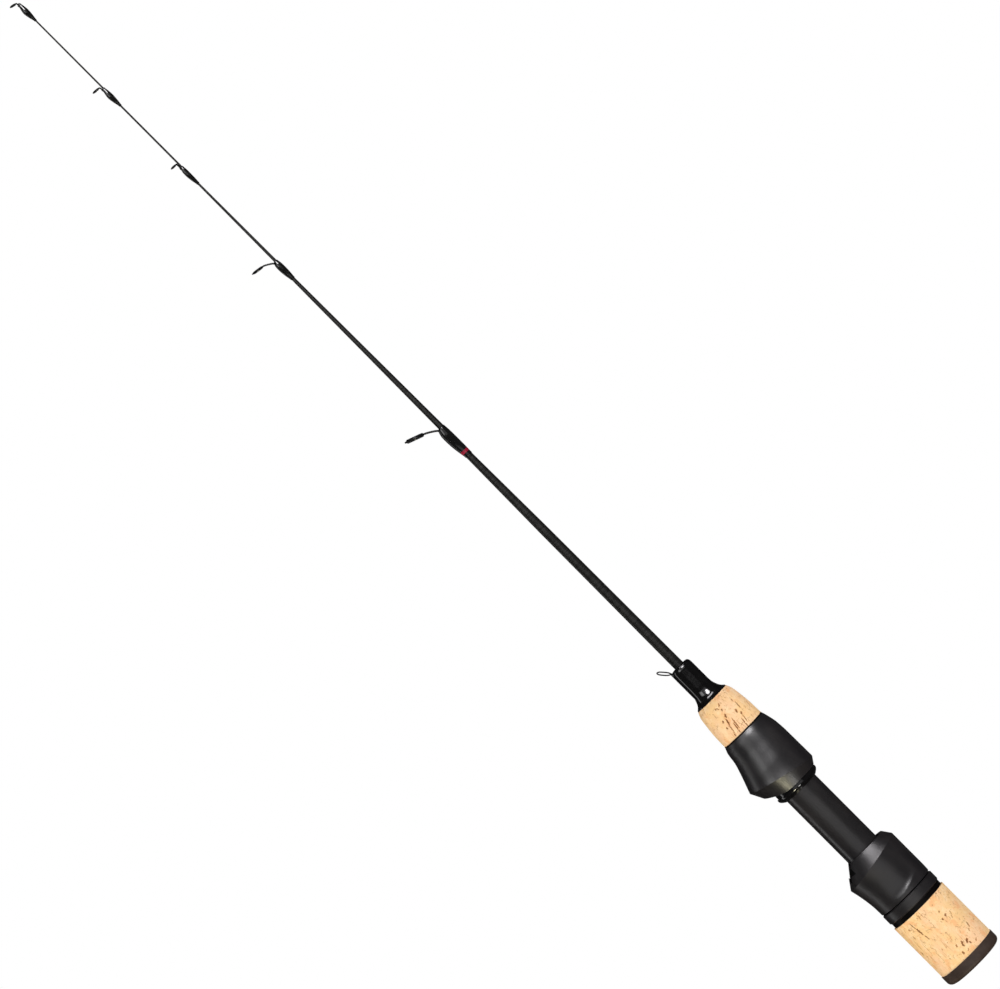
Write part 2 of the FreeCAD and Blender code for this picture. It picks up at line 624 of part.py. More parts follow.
def make_guide(guide, blank):
    """One line guide: frame, ring, thread wrap and epoxy coat; the first has a trim band."""
    frame = make_guide_frame(guide)
    make_guide_ring(guide)
    thread = wrap_form(guide, "thread", "0", "epoxy_wall")
    coat = wrap_form(guide, "coat", "epoxy_overrun", "0")
    if guide == "guide_1":
        band = slab("band_slab", ("trim_band_start", "trim_band_start + trim_band_width"),
                    "guide_1_ring", ("-1 * guide_1_ring", "guide_1_ring"))
        band_part = boolean("band_form", "Common", thread, band)
        keep(boolean("guide_1_trim_band", "Cut", band_part, blank, frame))
        keep(boolean(guide + "_thread", "Cut", thread, blank, frame, band))
    else:
        keep(boolean(guide + "_thread", "Cut", thread, blank, frame))
    keep(boolean(guide + "_epoxy", "Cut", coat, thread, blank, frame))


# ---------------------------------------------------------------- assembly and export

def build():
    sheet = make_sheet()
    blank = make_blank()
    make_butt_cap()
    make_rear_grip()
    make_sleeve("rear_trim_ring", "rear_grip_end", "rear_trim_end", "rear_trim_radius",
                "tube_radius")
    make_seat_tube()
    make_sleeve("rear_arbor", "tube_start", "tube_start + arbor_length", "tube_bore",
                "blank_radius")
    make_sleeve("front_arbor", "tube_end - arbor_length", "tube_end", "tube_bore",
                "blank_radius")
    make_lock_ring()
    make_sliding_hood()
    make_front_collar()
    make_front_hood()
    make_sleeve("front_trim_ring", "tube_end", "front_trim_end", "front_trim_radius",
                "blank_radius")
    make_fore_grip()
    make_nose_cone(make_hook_keeper(sheet), blank)
    for guide in GUIDES:
        make_guide(guide, blank)
    doc.recompute()


def check():
    """Stop on any failed object, or on a sub-part that is not one or more valid solids."""
    for thing in doc.Objects:
        if "Invalid" in thing.State or "Error" in thing.State:
            raise RuntimeError("%s failed: %s" % (thing.Name, thing.State))
    for name, thing in nodes.items():
        shape = thing.Shape
        if shape.isNull() or not shape.isValid() or not shape.Solids:
            raise RuntimeError(name + " has no valid solid")
        print("%-20s solids %d volume %9.2f mm3" % (name, len(shape.Solids), shape.Volume))


def write():
    os.makedirs("parts", exist_ok=True)
    for name, thing in nodes.items():
        thing.Shape.exportStep("parts/%s.step" % name)


build()
check()
write()
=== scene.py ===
"""Looks of the ice fishing rod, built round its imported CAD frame. Lengths are in mm here."""
import math
import random

import bmesh
import bpy
import numpy as np
from mathutils import Matrix, Vector


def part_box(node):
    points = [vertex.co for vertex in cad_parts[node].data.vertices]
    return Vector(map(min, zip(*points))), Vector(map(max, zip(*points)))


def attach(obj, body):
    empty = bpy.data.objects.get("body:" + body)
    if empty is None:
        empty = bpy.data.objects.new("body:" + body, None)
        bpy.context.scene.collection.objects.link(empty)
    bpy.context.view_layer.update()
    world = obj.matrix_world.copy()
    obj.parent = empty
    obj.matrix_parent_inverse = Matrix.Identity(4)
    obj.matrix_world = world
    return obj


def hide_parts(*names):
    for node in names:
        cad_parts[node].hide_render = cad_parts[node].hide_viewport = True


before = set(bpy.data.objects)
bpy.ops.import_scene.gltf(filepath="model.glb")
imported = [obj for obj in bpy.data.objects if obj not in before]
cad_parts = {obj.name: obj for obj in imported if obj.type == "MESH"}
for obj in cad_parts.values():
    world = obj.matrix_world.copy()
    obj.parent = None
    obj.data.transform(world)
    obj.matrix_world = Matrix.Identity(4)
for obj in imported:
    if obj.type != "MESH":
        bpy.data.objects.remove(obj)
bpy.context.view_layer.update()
MM = 0.001


# ---------------------------------------------------------------- measuring the frame

def span(node):
    """First and last x of a CAD node, in mm."""
    lo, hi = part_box(node)
    return lo.x / MM, hi.x / MM


def wide(node):
    """Largest half width of a CAD node across the rod, in mm."""
    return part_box(node)[1].y / MM


# ---------------------------------------------------------------- materials

class Look:
    """A procedural material. Its textures work in mm, in the piece's own coordinates."""

    def __init__(self, name, colour, roughness, metallic=0.0):
        self.material = bpy.data.materials.new(name)
        self.material.use_nodes = True
        self.tree = self.material.node_tree
        self.shader = self.tree.nodes["Principled BSDF"]
        self.shader.inputs["Base Color"].default_value = (*colour, 1)
        self.shader.inputs["Roughness"].default_value = roughness
        self.shader.inputs["Metallic"].default_value = metallic
        coords = self.node("ShaderNodeTexCoord")
        self.place = self.scaled(coords.outputs["Object"], (1000, 1000, 1000))
        self.height = None

    def node(self, kind, settings=(), **inputs):
        made = self.tree.nodes.new(kind)
        for key, setting in dict(settings).items():
            setattr(made, key, setting)
        for key, wanted in inputs.items():
            socket = made.inputs[key.replace("_", " ")] if not key.startswith("i_") \
                else made.inputs[int(key[2:])]
            self.feed(socket, wanted)
        return made

    def feed(self, socket, wanted):
        if isinstance(wanted, bpy.types.NodeSocket):
            self.tree.links.new(wanted, socket)
        else:
            socket.default_value = wanted

    def scaled(self, source, scale):
        return self.node("ShaderNodeMapping", Vector=source, Scale=scale).outputs[0]

    def noise(self, size, detail, stretch=(1, 1, 1), rough=0.55, warp=0.0):
        """Noise whose features are about `size` mm across, drawn out by `stretch`."""
        scale = [1 / (size * s) for s in stretch]
        return self.node("ShaderNodeTexNoise", Vector=self.scaled(self.place, scale), Scale=1.0,
                         Detail=detail, Roughness=rough, Distortion=warp).outputs["Fac"]

    def cells(self, size, stretch=(1, 1, 1), feature="F1"):
        """Distance within cells about `size` mm across, or to their edges."""
        scale = [1 / (size * s) for s in stretch]
        return self.node("ShaderNodeTexVoronoi", {"feature": feature}, Scale=1.0,
                         Vector=self.scaled(self.place, scale)).outputs["Distance"]

    def span(self, source, low, high, to_low=0.0, to_high=1.0):
        """Smooth step of a texture from one level to another."""
        made = self.node("ShaderNodeMapRange", {"interpolation_type": "SMOOTHSTEP"}, Value=source)
        for key, wanted in zip(("From Min", "From Max", "To Min", "To Max"),
                               (low, high, to_low, to_high)):
            made.inputs[key].default_value = wanted
        return made.outputs[0]

    def math(self, kind, a, b):
        return self.node("ShaderNodeMath", {"operation": kind}, i_0=a, i_1=b).outputs[0]

    def blend(self, factor, a, b):
        made = self.node("ShaderNodeMix", {"data_type": "RGBA"}, i_0=factor)
        for index, wanted in ((6, a), (7, b)):
            wanted = wanted if isinstance(wanted, bpy.types.NodeSocket) else (*wanted, 1)
            self.feed(made.inputs[index], wanted)
        return made.outputs[2]

    def attribute(self, name):
        return self.node("ShaderNodeAttribute", {"attribute_name": name}).outputs["Fac"]

    def colour(self, source):
        self.feed(self.shader.inputs["Base Color"], source)

    def mottle(self, source, low, high, first, second):
        """Base colour that drifts from the first to the second colour with a texture."""
        self.colour(self.blend(self.span(source, low, high), first, second))

    def roughness(self, source):
        self.feed(self.shader.inputs["Roughness"], source)

    def bump(self, source, depth):
        """Adds a fine relief `depth` mm deep to any earlier one."""
        settings = dict(Strength=1.0, Distance=depth * MM, Height=source)
        if self.height is not None:
            settings["Normal"] = self.height
        self.height = self.node("ShaderNodeBump", **settings).outputs[0]
        self.tree.links.new(self.height, self.shader.inputs["Normal"])

    def sets(self, **values):
        for key, number in values.items():
            self.shader.inputs[key.replace("_", " ")].default_value = number


def cork():
    """Natural cork: warm patches, streaks along the grain, specks, and brown lenticels that turn
    near-black deeper in as painted shade.
    """
    look = Look("cork", (0.85, 0.6, 0.35), 0.78)
    broad = look.noise(8.0, 2.0, (1.8, 1, 1))
    base = look.blend(look.span(broad, 0.36, 0.66), (0.91, 0.59, 0.28), (0.91, 0.58, 0.335))
    patch = look.noise(2.4, 3.0, (1.6, 1, 1))
    base = look.blend(look.span(patch, 0.46, 0.68, 0.0, 0.7), base, (0.95, 0.685, 0.41))
    blush = look.noise(3.6, 3.0, (1.3, 1, 1), 0.55, 0.5)
    base = look.blend(look.span(blush, 0.52, 0.69, 0.0, 0.8), base, (0.87, 0.45, 0.20))
    grain = look.noise(0.55, 3.0, (1.4, 1, 1), 0.6, 0.4)
    base = look.blend(look.span(grain, 0.55, 0.70, 0.0, 0.45), base, (0.70, 0.35, 0.14))
    streak = look.noise(0.7, 2.0, (9, 1, 1), 0.4, 0.8)
    where = look.span(look.noise(5.0, 1.0, (2, 1, 1)), 0.50, 0.64)
    lines = look.math("MULTIPLY", look.span(streak, 0.60, 0.70, 0.0, 0.6), where)
    base = look.blend(lines, base, (0.56, 0.235, 0.075))
    curl = look.cells(1.7, (1.3, 1, 1), "DISTANCE_TO_EDGE")
    here = look.span(look.noise(2.6, 2.0, (1.4, 1, 1)), 0.57, 0.66)
    curls = look.math("MULTIPLY", look.span(curl, 0.075, 0.02, 0.0, 0.8), here)
    base = look.blend(curls, base, (0.44, 0.165, 0.048))
    speck = look.math("MULTIPLY", look.span(look.cells(0.8, (1.5, 1, 1)), 0.26, 0.14, 0.0, 0.7),
                      look.span(look.noise(2.8, 1.0), 0.52, 0.62))
    base = look.blend(speck, base, (0.46, 0.19, 0.055))
    pit = look.attribute("pit")
    # the brown at the start of each mark is the lenticels' own colour
    base = look.blend(look.span(pit, 0.04, 0.5, 0.0, 0.9), base, (0.46, 0.185, 0.048))
    # painted shade: deeper in a pit the brown turns near-black, standing in for the shade in the
    # hollow
    base = look.blend(look.span(pit, 0.55, 1.1, 0.0, 0.9), base, (0.17, 0.052, 0.013))
    look.colour(base)
    look.roughness(look.span(grain, 0.3, 0.7, 0.72, 0.9))
    look.bump(grain, 0.04)
    marks = look.math("ADD", look.math("ADD", lines, speck), curls)
    look.bump(look.math("SUBTRACT", 0.0, marks), 0.05)
    look.sets(Specular_IOR_Level=0.25)
    return look.material


def satin(name, colour, roughness, grain_depth, level):
    """Satin black moulding or anodising: a fine even grain with slight rub marks."""
    look = Look(name, colour, roughness)
    cloud = look.noise(9.0, 3.0, (2, 1, 1))
    fine = look.noise(0.16, 2.0)
    rub = look.noise(0.5, 2.0, (12, 1, 1), 0.5, 0.2)
    warm = tuple(channel * factor for channel, factor in zip(colour, (1.35, 1.28, 1.2)))
    base = look.blend(look.span(cloud, 0.35, 0.7), colour, warm)
    base = look.blend(look.span(rub, 0.66, 0.8, 0.0, 0.35), base,
                      tuple(min(1, channel * 2.2) for channel in colour))
    look.colour(base)
    rough = look.span(cloud, 0.3, 0.7, roughness - 0.04, roughness + 0.05)
    look.roughness(look.math("ADD", rough, look.span(rub, 0.6, 0.8, 0.0, 0.07)))
    look.bump(fine, grain_depth)
    look.sets(Specular_IOR_Level=level)
    return look.material


def rubber():
    look = Look("cap_rubber", (0.03, 0.023, 0.02), 0.62)
    cloud = look.noise(6.0, 4.0)
    fine = look.noise(0.22, 3.0)
    look.mottle(cloud, 0.35, 0.7, (0.032, 0.0195, 0.0150), (0.048, 0.031, 0.024))
    look.roughness(look.span(fine, 0.3, 0.7, 0.52, 0.68))
    look.bump(fine, 0.03)
    look.bump(look.cells(0.9), 0.02)
    look.sets(Specular_IOR_Level=0.2)
    return look.material


def gloss(name, colour, roughness, wave, level):
    """Black paint or lacquer with a faint orange-peel wave."""
    look = Look(name, colour, roughness)
    look.mottle(look.noise(3.0, 3.0), 0.35, 0.7, colour,
                tuple(channel * 1.5 for channel in colour))
    look.roughness(look.span(look.noise(1.2, 3.0), 0.3, 0.7, roughness, roughness + 0.07))
    look.bump(look.noise(1.5, 2.0), wave)
    look.sets(Specular_IOR_Level=level)
    return look.material


def graphite():
    """Blank of wound graphite, with faint slanted bands of its wrapping tape."""
    look = Look("graphite", (0.02, 0.02, 0.017), 0.34)
    turns = look.noise(0.9, 2.0, (0.8, 6, 6))
    fibre = look.noise(0.12, 2.0, (30, 1, 1))
    base = look.blend(look.span(turns, 0.35, 0.7), (0.0055, 0.0053, 0.0048),
                      (0.0095, 0.0091, 0.0080))
    look.colour(look.blend(look.span(fibre, 0.55, 0.8, 0.0, 0.4), base, (0.026, 0.026, 0.022)))
    look.roughness(look.span(turns, 0.3, 0.7, 0.28, 0.40))
    look.bump(turns, 0.008)
    look.bump(fibre, 0.003)
    look.sets(Specular_IOR_Level=0.27)
    return look.material


def thread(name, colour, light):
    """Nylon winding thread soaked in epoxy: filaments along each turn, under a wet gloss."""
    look = Look(name, colour, 0.42)
    strand = look.noise(0.07, 2.0, (0.6, 5, 5))
    look.mottle(strand, 0.35, 0.75, colour, light)
    look.roughness(look.span(strand, 0.3, 0.7, 0.32, 0.5))
    look.bump(strand, 0.006)
    look.sets(Specular_IOR_Level=0.0, Coat_Weight=1.0, Coat_Roughness=0.03, Coat_IOR=1.40)
    return look.material


def epoxy():
    """Clear film over the thread, which has the gloss; dark where it runs out on the blank."""
    look = Look("epoxy_clear", (0.003, 0.003, 0.003), 0.05)
    drift = look.noise(2.5, 2.0)
    look.mottle(drift, 0.3, 0.7, (0.002, 0.002, 0.002), (0.004, 0.004, 0.004))
    haze = look.span(drift, 0.3, 0.7, 0.01, 0.03)
    look.feed(look.shader.inputs["Alpha"], look.math("MAXIMUM", haze, look.attribute("bare")))
    look.sets(Specular_IOR_Level=0.3)
    return look.material


def ceramic():
    look = Look("ceramic_black", (0.012, 0.012, 0.014), 0.12)
    cloud = look.noise(0.8, 3.0)
    look.mottle(cloud, 0.3, 0.7, (0.010, 0.010, 0.012), (0.028, 0.028, 0.032))
    look.roughness(look.span(cloud, 0.3, 0.7, 0.08, 0.2))
    return look.material


def brushed_key():
    look = Look("key_metal", (0.30, 0.30, 0.31), 0.35, 1.0)
    lines = look.noise(0.2, 2.0, (12, 1, 1))
    look.mottle(lines, 0.3, 0.7, (0.24, 0.24, 0.25), (0.36, 0.36, 0.37))
    look.roughness(look.span(lines, 0.3, 0.7, 0.3, 0.45))
    look.bump(lines, 0.01)
    return look.material


def foam():
    look = Look("arbor_foam", (0.5, 0.48, 0.42), 0.9)
    cell = look.cells(0.7)
    look.mottle(cell, 0.1, 0.6, (0.38, 0.36, 0.30), (0.62, 0.6, 0.54))
    look.bump(cell, 0.2)
    return look.material


LOOKS = {
    "cork": cork(), "cap_rubber": rubber(),
    # near-black and almost glossless: black trim rings whose darkness is also painted shade for
    # the gaps they sit in
    "trim_black": satin("trim_black", (0.0022, 0.0018, 0.0018), 0.40, 0.008, 0.06),
    "seat_satin": satin("seat_satin", (0.0090, 0.0080, 0.0092), 0.36, 0.012, 0.42),
    "seat_tube_satin": satin("seat_tube_satin", (0.0100, 0.0090, 0.0098), 0.32, 0.006, 0.42),
    # near-black and almost glossless: the hood's liner, kept this dark also as painted shade deep
    # in the foot pocket
    "liner_black": satin("liner_black", (0.0012, 0.0012, 0.0012), 0.5, 0.01, 0.06),
    "trim_gloss": gloss("trim_gloss", (0.0022, 0.0020, 0.0022), 0.08, 0.006, 0.36),
    "wire_black": gloss("wire_black", (0.0035, 0.0035, 0.0038), 0.26, 0.004, 0.14),
    "graphite": graphite(),
    "thread_black": thread("thread_black", (0.003, 0.003, 0.003), (0.010, 0.010, 0.010)),
    "thread_red": thread("thread_red", (0.20, 0.004, 0.018), (0.36, 0.015, 0.045)),
    "epoxy_clear": epoxy(), "ceramic_black": ceramic(), "key_metal": brushed_key(),
    "arbor_foam": foam(),
}


# ---------------------------------------------------------------- mesh building

SHARP = math.radians(38)      # edges that bend more than this are shaded as creases
WELD = 1e-7                   # points nearer than this, in metres, are one point


def mesh_object(name, points, faces):
    """A new object in the scene, from points in metres."""
    mesh = bpy.data.meshes.new(name)
    mesh.from_pydata([tuple(p) for p in points], [], faces)
    made = bpy.data.objects.new(name, mesh)
    bpy.context.scene.collection.objects.link(made)
    return made


def finish_mesh(made):
    """Welds doubled points, turns all faces outwards, and shades smooth between creases."""
    work = bmesh.new()
    work.from_mesh(made.data)
    bmesh.ops.remove_doubles(work, verts=work.verts, dist=WELD)
    bmesh.ops.dissolve_degenerate(work, edges=work.edges, dist=WELD / 10)
    bmesh.ops.recalc_face_normals(work, faces=work.faces)
    if work.calc_volume(signed=True) < 0:
        bmesh.ops.reverse_faces(work, faces=work.faces)
    for face in work.faces:
        face.smooth = True
    for edge in work.edges:
        edge.smooth = len(edge.link_faces) == 2 and edge.calc_face_angle(0) < SHARP
    work.to_mesh(made.data)
    work.free()


def piece(name, points, faces, body, slot, *nodes):
    """A closed mesh, from points in mm, that rides on a body and stands for CAD nodes."""
    made = mesh_object(name, np.asarray(points) * MM, faces)
    finish_mesh(made)
    made.data.materials.append(LOOKS[slot])
    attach(made, body)
    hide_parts(*nodes)
    return made


def tool_mesh(points, faces):
    """A closed mesh, from points in mm, to cut a piece with."""
    made = mesh_object("tool", np.asarray(points) * MM, faces)
    finish_mesh(made)
    return made


def prism(outline, low, high, plane="XZ"):
    """A cutting tool: an outline in the XZ or XY plane, drawn from low to high across it."""
    count = len(outline)
    points = [(a, level, b) if plane == "XZ" else (a, b, level)
              for level in (low, high) for a, b in outline]
    faces = [tuple(range(count))[::-1], tuple(range(count, 2 * count))]
    faces += [(i, (i + 1) % count, (i + 1) % count + count, i + count) for i in range(count)]
    return tool_mesh(points, faces)


def corners(a0, a1, b0, b1):
    """Outline of a rectangle."""
    return [(a0, b0), (a1, b0), (a1, b1), (a0, b1)]


def cut(made, *tools):
    """Takes the tool meshes out of a piece, for good, and deletes them."""
    for tool in tools:
        modifier = made.modifiers.new("cut", "BOOLEAN")
        modifier.operation = "DIFFERENCE"
        modifier.solver = "EXACT"
        modifier.object = tool
    bpy.context.view_layer.update()
    shown = made.evaluated_get(bpy.context.evaluated_depsgraph_get())
    mesh = bpy.data.meshes.new_from_object(shown)
    made.modifiers.clear()
    old, made.data = made.data, mesh
    bpy.data.meshes.remove(old)
    mesh.name = made.name
    for tool in tools:
        bpy.data.objects.remove(tool)
    finish_mesh(made)


def pushed(points, gain):
    """Points moved away from the rod's axis, each by its own gain."""
    x, y, z = points.T
    radius = np.hypot(y, z)
    factor = (radius + gain) / radius
    return np.stack([x, y * factor, z * factor], axis=1)


def flow(stations, step, crowd):
    """Closed path through stations, as smooth runs that meet at its corners.

    A station is (numbers, is_corner).
    """
    rows = [np.array(numbers, float) for numbers, corner in stations]
    bends = [i for i, (numbers, corner) in enumerate(stations) if corner]
    count = len(rows)
    result = []
    for first, last in zip(bends, bends[1:] + bends[:1]):
        steps = (last - first) % count or count
        run = [rows[(first + k) % count] for k in range(steps + 1)]
        result += smooth_run(run, step, crowd)
    return result


def smooth_run(run, step, crowd):
    """One smooth run up to its last point, with points crowded near its ends for clean shading."""
    run = np.array(run)
    lengths = np.linalg.norm(np.diff(run[:, :2], axis=0), axis=1) + 1e-9
    along = np.concatenate([[0], np.cumsum(lengths)])
    total = along[-1]
    grad = np.diff(run, axis=0) / lengths[:, None]
    same = grad[:-1] * grad[1:] > 0
    middle = np.where(same, 2 * grad[:-1] * grad[1:] / (grad[:-1] + grad[1:] + 1e-12), 0)
    slopes = np.concatenate([grad[:1], middle, grad[-1:]])
    trim = min(crowd, total * 0.3)
    inner = max(2, int(math.ceil((total - 2 * trim) / step)) + 1)
    spots = [0.0, trim * 0.15, trim * 0.5, *np.linspace(trim, total - trim, inner),
             total - trim * 0.5, total - trim * 0.15]
    return [hermite(run, slopes, along, spot) for spot in spots]


def hermite(rows, slopes, along, spot):
    """The rows' numbers at a spot between them, on the cubic with the given slopes."""
    k = min(max(np.searchsorted(along, spot, side="right") - 1, 0), len(rows) - 2)
    h = along[k + 1] - along[k]
    t = (spot - along[k]) / h
    return ((2 * t**3 - 3 * t**2 + 1) * rows[k] + (t**3 - 2 * t**2 + t) * h * slopes[k]
            + (3 * t**2 - 2 * t**3) * rows[k + 1] + (t**3 - t**2) * h * slopes[k + 1])


def ring(station, count):
    """Ring of points through one point on the rod's back and one on its reel side."""
    x_back, r_back, x_reel, r_reel = station
    turn = np.arange(count) * 2 * math.pi / count
    middle = ((x_back + x_reel) / 2, (r_back - r_reel) / 2)
    half = ((x_back - x_reel) / 2, (r_back + r_reel) / 2)
    size = math.copysign(math.hypot(*half), half[1]) if half[1] else 0.0
    return np.stack([middle[0] + half[0] * np.cos(turn), size * np.sin(turn),
                     middle[1] + half[1] * np.cos(turn)], axis=1)


def grid_faces(rows, count, closed=True):
    """Faces between rings of points, round from the last to the first or capped at both ends."""
    faces = []
    for i in range(rows if closed else rows - 1):
        j = (i + 1) % rows
        for k in range(count):
            m = (k + 1) % count
            faces.append((i * count + k, i * count + m, j * count + m, j * count + k))
    if not closed:
        faces += [tuple(range(count))[::-1],
                  tuple(range((rows - 1) * count, rows * count))]
    return faces


def surface(stations, count, step, crowd):
    """Points of a round surface about the rod's axis, and how many rings they make.

    A station is (x, radius), or (x, radius, x, radius) for the back and the reel side. It is a
    corner, unless True follows its numbers: then a smooth run goes through it.
    """
    rows = []
    for row in stations:
        soft = row[-1] is True
        numbers = tuple(row[:-1] if soft else row)
        rows.append((numbers if len(numbers) == 4 else numbers * 2, not soft))
    path = flow(rows, step, crowd)
    return np.concatenate([ring(station, count) for station in path]), len(path)


def turned(name, stations, body, slot, node, count=128, step=0.6, crowd=0.3, shape=None):
    """Round piece from its stations. `shape` gives how far each point moves from the axis."""
    points, rings = surface(stations, count, step, crowd)
    if shape:
        points = pushed(points, shape(*points.T))
    return piece(name, points, grid_faces(rings, count), body, slot, node)


def swept(path, radius, count, flat=None):
    """Closed tube along a path, with rounded ends. `flat` has (width, height) factors for it."""
    tangents = [(path[min(i + 1, len(path) - 1)] - path[max(i - 1, 0)]).normalized()
                for i in range(len(path))]
    side = Vector((0, 1, 0)) if flat else tangents[0].orthogonal().normalized()
    rings = []
    for i, (p, tangent) in enumerate(zip(path, tangents)):
        if i and not flat:
            side = (side - tangent * side.dot(tangent)).normalized()
        up = tangent.cross(side).normalized()
        w, h = flat[i] if flat else (1, 1)
        rings.append((p, side.copy(), up, radius * w, radius * h))

    def end(at, outward):
        p, s, u, w, h = rings[at]
        return [(p + outward * (math.sqrt(1 - shrink**2) * min(w, h)), s, u, w * shrink,
                 h * shrink) for shrink in (0.35, 0.75, 0.97)]

    full = end(0, -tangents[0]) + rings + end(-1, tangents[-1])[::-1]
    turns = [2 * math.pi * k / count for k in range(count)]
    points = [p + s * math.cos(a) * w + u * math.sin(a) * h for p, s, u, w, h in full
              for a in turns]
    return points, grid_faces(len(full), count, closed=False)


def curve_through(points, count):
    """Smooth open curve through the points, with `count` steps between each two."""
    points = [Vector(p) for p in points]
    ends = [points[0] * 2 - points[1], *points, points[-1] * 2 - points[-2]]
    result = []
    for i in range(1, len(ends) - 2):
        a, b, c, d = ends[i - 1:i + 3]
        for k in range(count):
            t = k / count
            result.append(0.5 * ((2 * b) + (c - a) * t + (2 * a - 5 * b + 4 * c - d) * t * t
                                 + (3 * b - a - 3 * c + d) * t**3))
    result.append(points[-1])
    return result


# ---------------------------------------------------------------- cork grips

# the darkest colour of a deep mark is painted shade in its hollow
FULL_PIT = 0.3                # depth at which a mark has its darkest colour

# The marks, given one by one: distance from the grip's rear end, height z, length, width, tilt in
# radians and depth.
REAR_MARKS = (
    (26.2, -8.3, 4.6, 0.5, -0.12, 0.28), (22.6, -7.8, 5.2, 0.85, -0.10, 0.55),
    (18.4, -7.2, 3.4, 0.5, -0.12, 0.32), (27.0, -3.4, 3.6, 0.7, 0.2, 0.14),
    (25.8, -10.6, 1.6, 0.8, 0.1, 0.2), (22.0, -11.4, 2.4, 0.6, 0.0, 0.2),
    (19.8, 5.6, 1.6, 0.9, 0.5, 0.36), (19.4, 3.4, 1.3, 0.8, 0.3, 0.34),
    (22.8, 4.6, 1.3, 0.6, 0.6, 0.26), (18.8, 8.0, 3.0, 0.5, 0.25, 0.18),
    (17.4, 7.2, 2.0, 0.5, 0.3, 0.16), (9.6, 9.8, 3.4, 0.8, 0.25, 0.28),
    (7.8, 8.4, 2.2, 0.6, 0.3, 0.2), (6.2, 2.2, 1.8, 1.0, 0.5, 0.40),
    (5.2, 4.4, 2.6, 1.1, 0.7, 0.44), (3.6, 4.9, 1.6, 0.8, -0.3, 0.38),
    (5.0, 1.8, 2.0, 0.8, 0.0, 0.36), (6.8, -0.6, 1.8, 0.8, 0.5, 0.24),
    (2.6, -0.6, 1.9, 1.0, 0.2, 0.30), (2.0, 2.0, 1.8, 0.5, 0.9, 0.26),
    (2.6, 7.6, 2.6, 0.5, 0.9, 0.22), (4.6, 8.8, 1.8, 0.4, 0.2, 0.16),
    (10.0, -6.2, 1.6, 0.5, 0.0, 0.14), (8.4, -9.2, 9.0, 0.35, 0.03, 0.12),
    (14.6, -10.8, 10.0, 0.35, 0.02, 0.12), (18.0, -12.6, 9.0, 0.4, 0.03, 0.16),
    (9.8, -12.2, 7.0, 0.4, 0.04, 0.14), (4.6, -6.6, 1.5, 0.5, 0.0, 0.14),
    (12.6, 0.8, 1.2, 0.4, 0.4, 0.10), (14.0, 8.8, 1.8, 0.4, 0.2, 0.14))
FORE_MARKS = (
    (2.2, 3.0, 6.0, 0.55, 0.12, 0.34), (3.4, 4.4, 5.4, 0.5, 0.12, 0.26),
    (8.4, 4.0, 2.4, 0.9, 0.3, 0.30), (6.2, 4.9, 1.8, 0.8, 0.5, 0.36),
    (9.8, 6.6, 4.6, 0.55, 0.15, 0.30), (13.4, 6.4, 2.8, 0.5, 0.2, 0.24),
    (3.0, -1.2, 6.6, 0.6, 0.12, 0.34), (4.8, -0.2, 7.2, 0.55, 0.12, 0.30),
    (7.6, -2.4, 4.0, 0.8, 0.2, 0.36), (10.2, -1.2, 2.6, 0.9, 0.4, 0.32),
    (9.0, -4.0, 1.6, 0.8, 0.6, 0.34), (5.8, -4.6, 1.4, 0.8, 0.2, 0.30),
    (4.2, -3.2, 5.0, 0.5, 0.12, 0.26), (1.6, -4.0, 3.0, 0.7, 0.2, 0.28),
    (15.6, 0.2, 2.2, 0.6, 0.7, 0.26), (14.6, -1.6, 2.0, 0.6, -0.5, 0.28),
    (13.4, -0.4, 2.2, 0.6, 0.3, 0.26), (15.2, -2.6, 1.4, 0.6, 0.2, 0.24),
    (2.0, 7.4, 2.6, 0.4, 0.1, 0.14), (12.6, -5.0, 1.8, 0.4, 0.1, 0.14),
    (6.8, 8.0, 2.2, 0.4, 0.2, 0.16))


def pit_depths(points, marks):
    """How deep the marks go at each point of a grip.

    A mark is (x, angle, length, width, tilt, depth) with the angle measured from +Y to +Z.
    """
    x, y, z = points.T
    radius, angle = np.hypot(y, z), np.arctan2(z, y)
    depth = np.zeros(len(points))
    for mark_x, mark_angle, length, width, tilt, sink in marks:
        along = x - mark_x
        across = ((angle - mark_angle + math.pi) % (2 * math.pi) - math.pi) * radius
        near = (np.abs(along) < length) & (np.abs(across) < length)
        a, c = along[near], across[near]
        u = a * math.cos(tilt) + c * math.sin(tilt)
        v = c * math.cos(tilt) - a * math.sin(tilt)
        v = v + 0.12 * width * np.sin(u * 5.1 + mark_x * 3)
        ragged = 1 + 0.35 * np.sin(u * 7.3 + mark_angle * 9) * np.cos(v * 11 + mark_x)
        inside = (2 * u / length) ** 2 + (2 * v / width) ** 2 * ragged
        depth[near] = np.maximum(depth[near], sink * np.clip(1.4 * (1 - inside), 0, 1))
    return depth


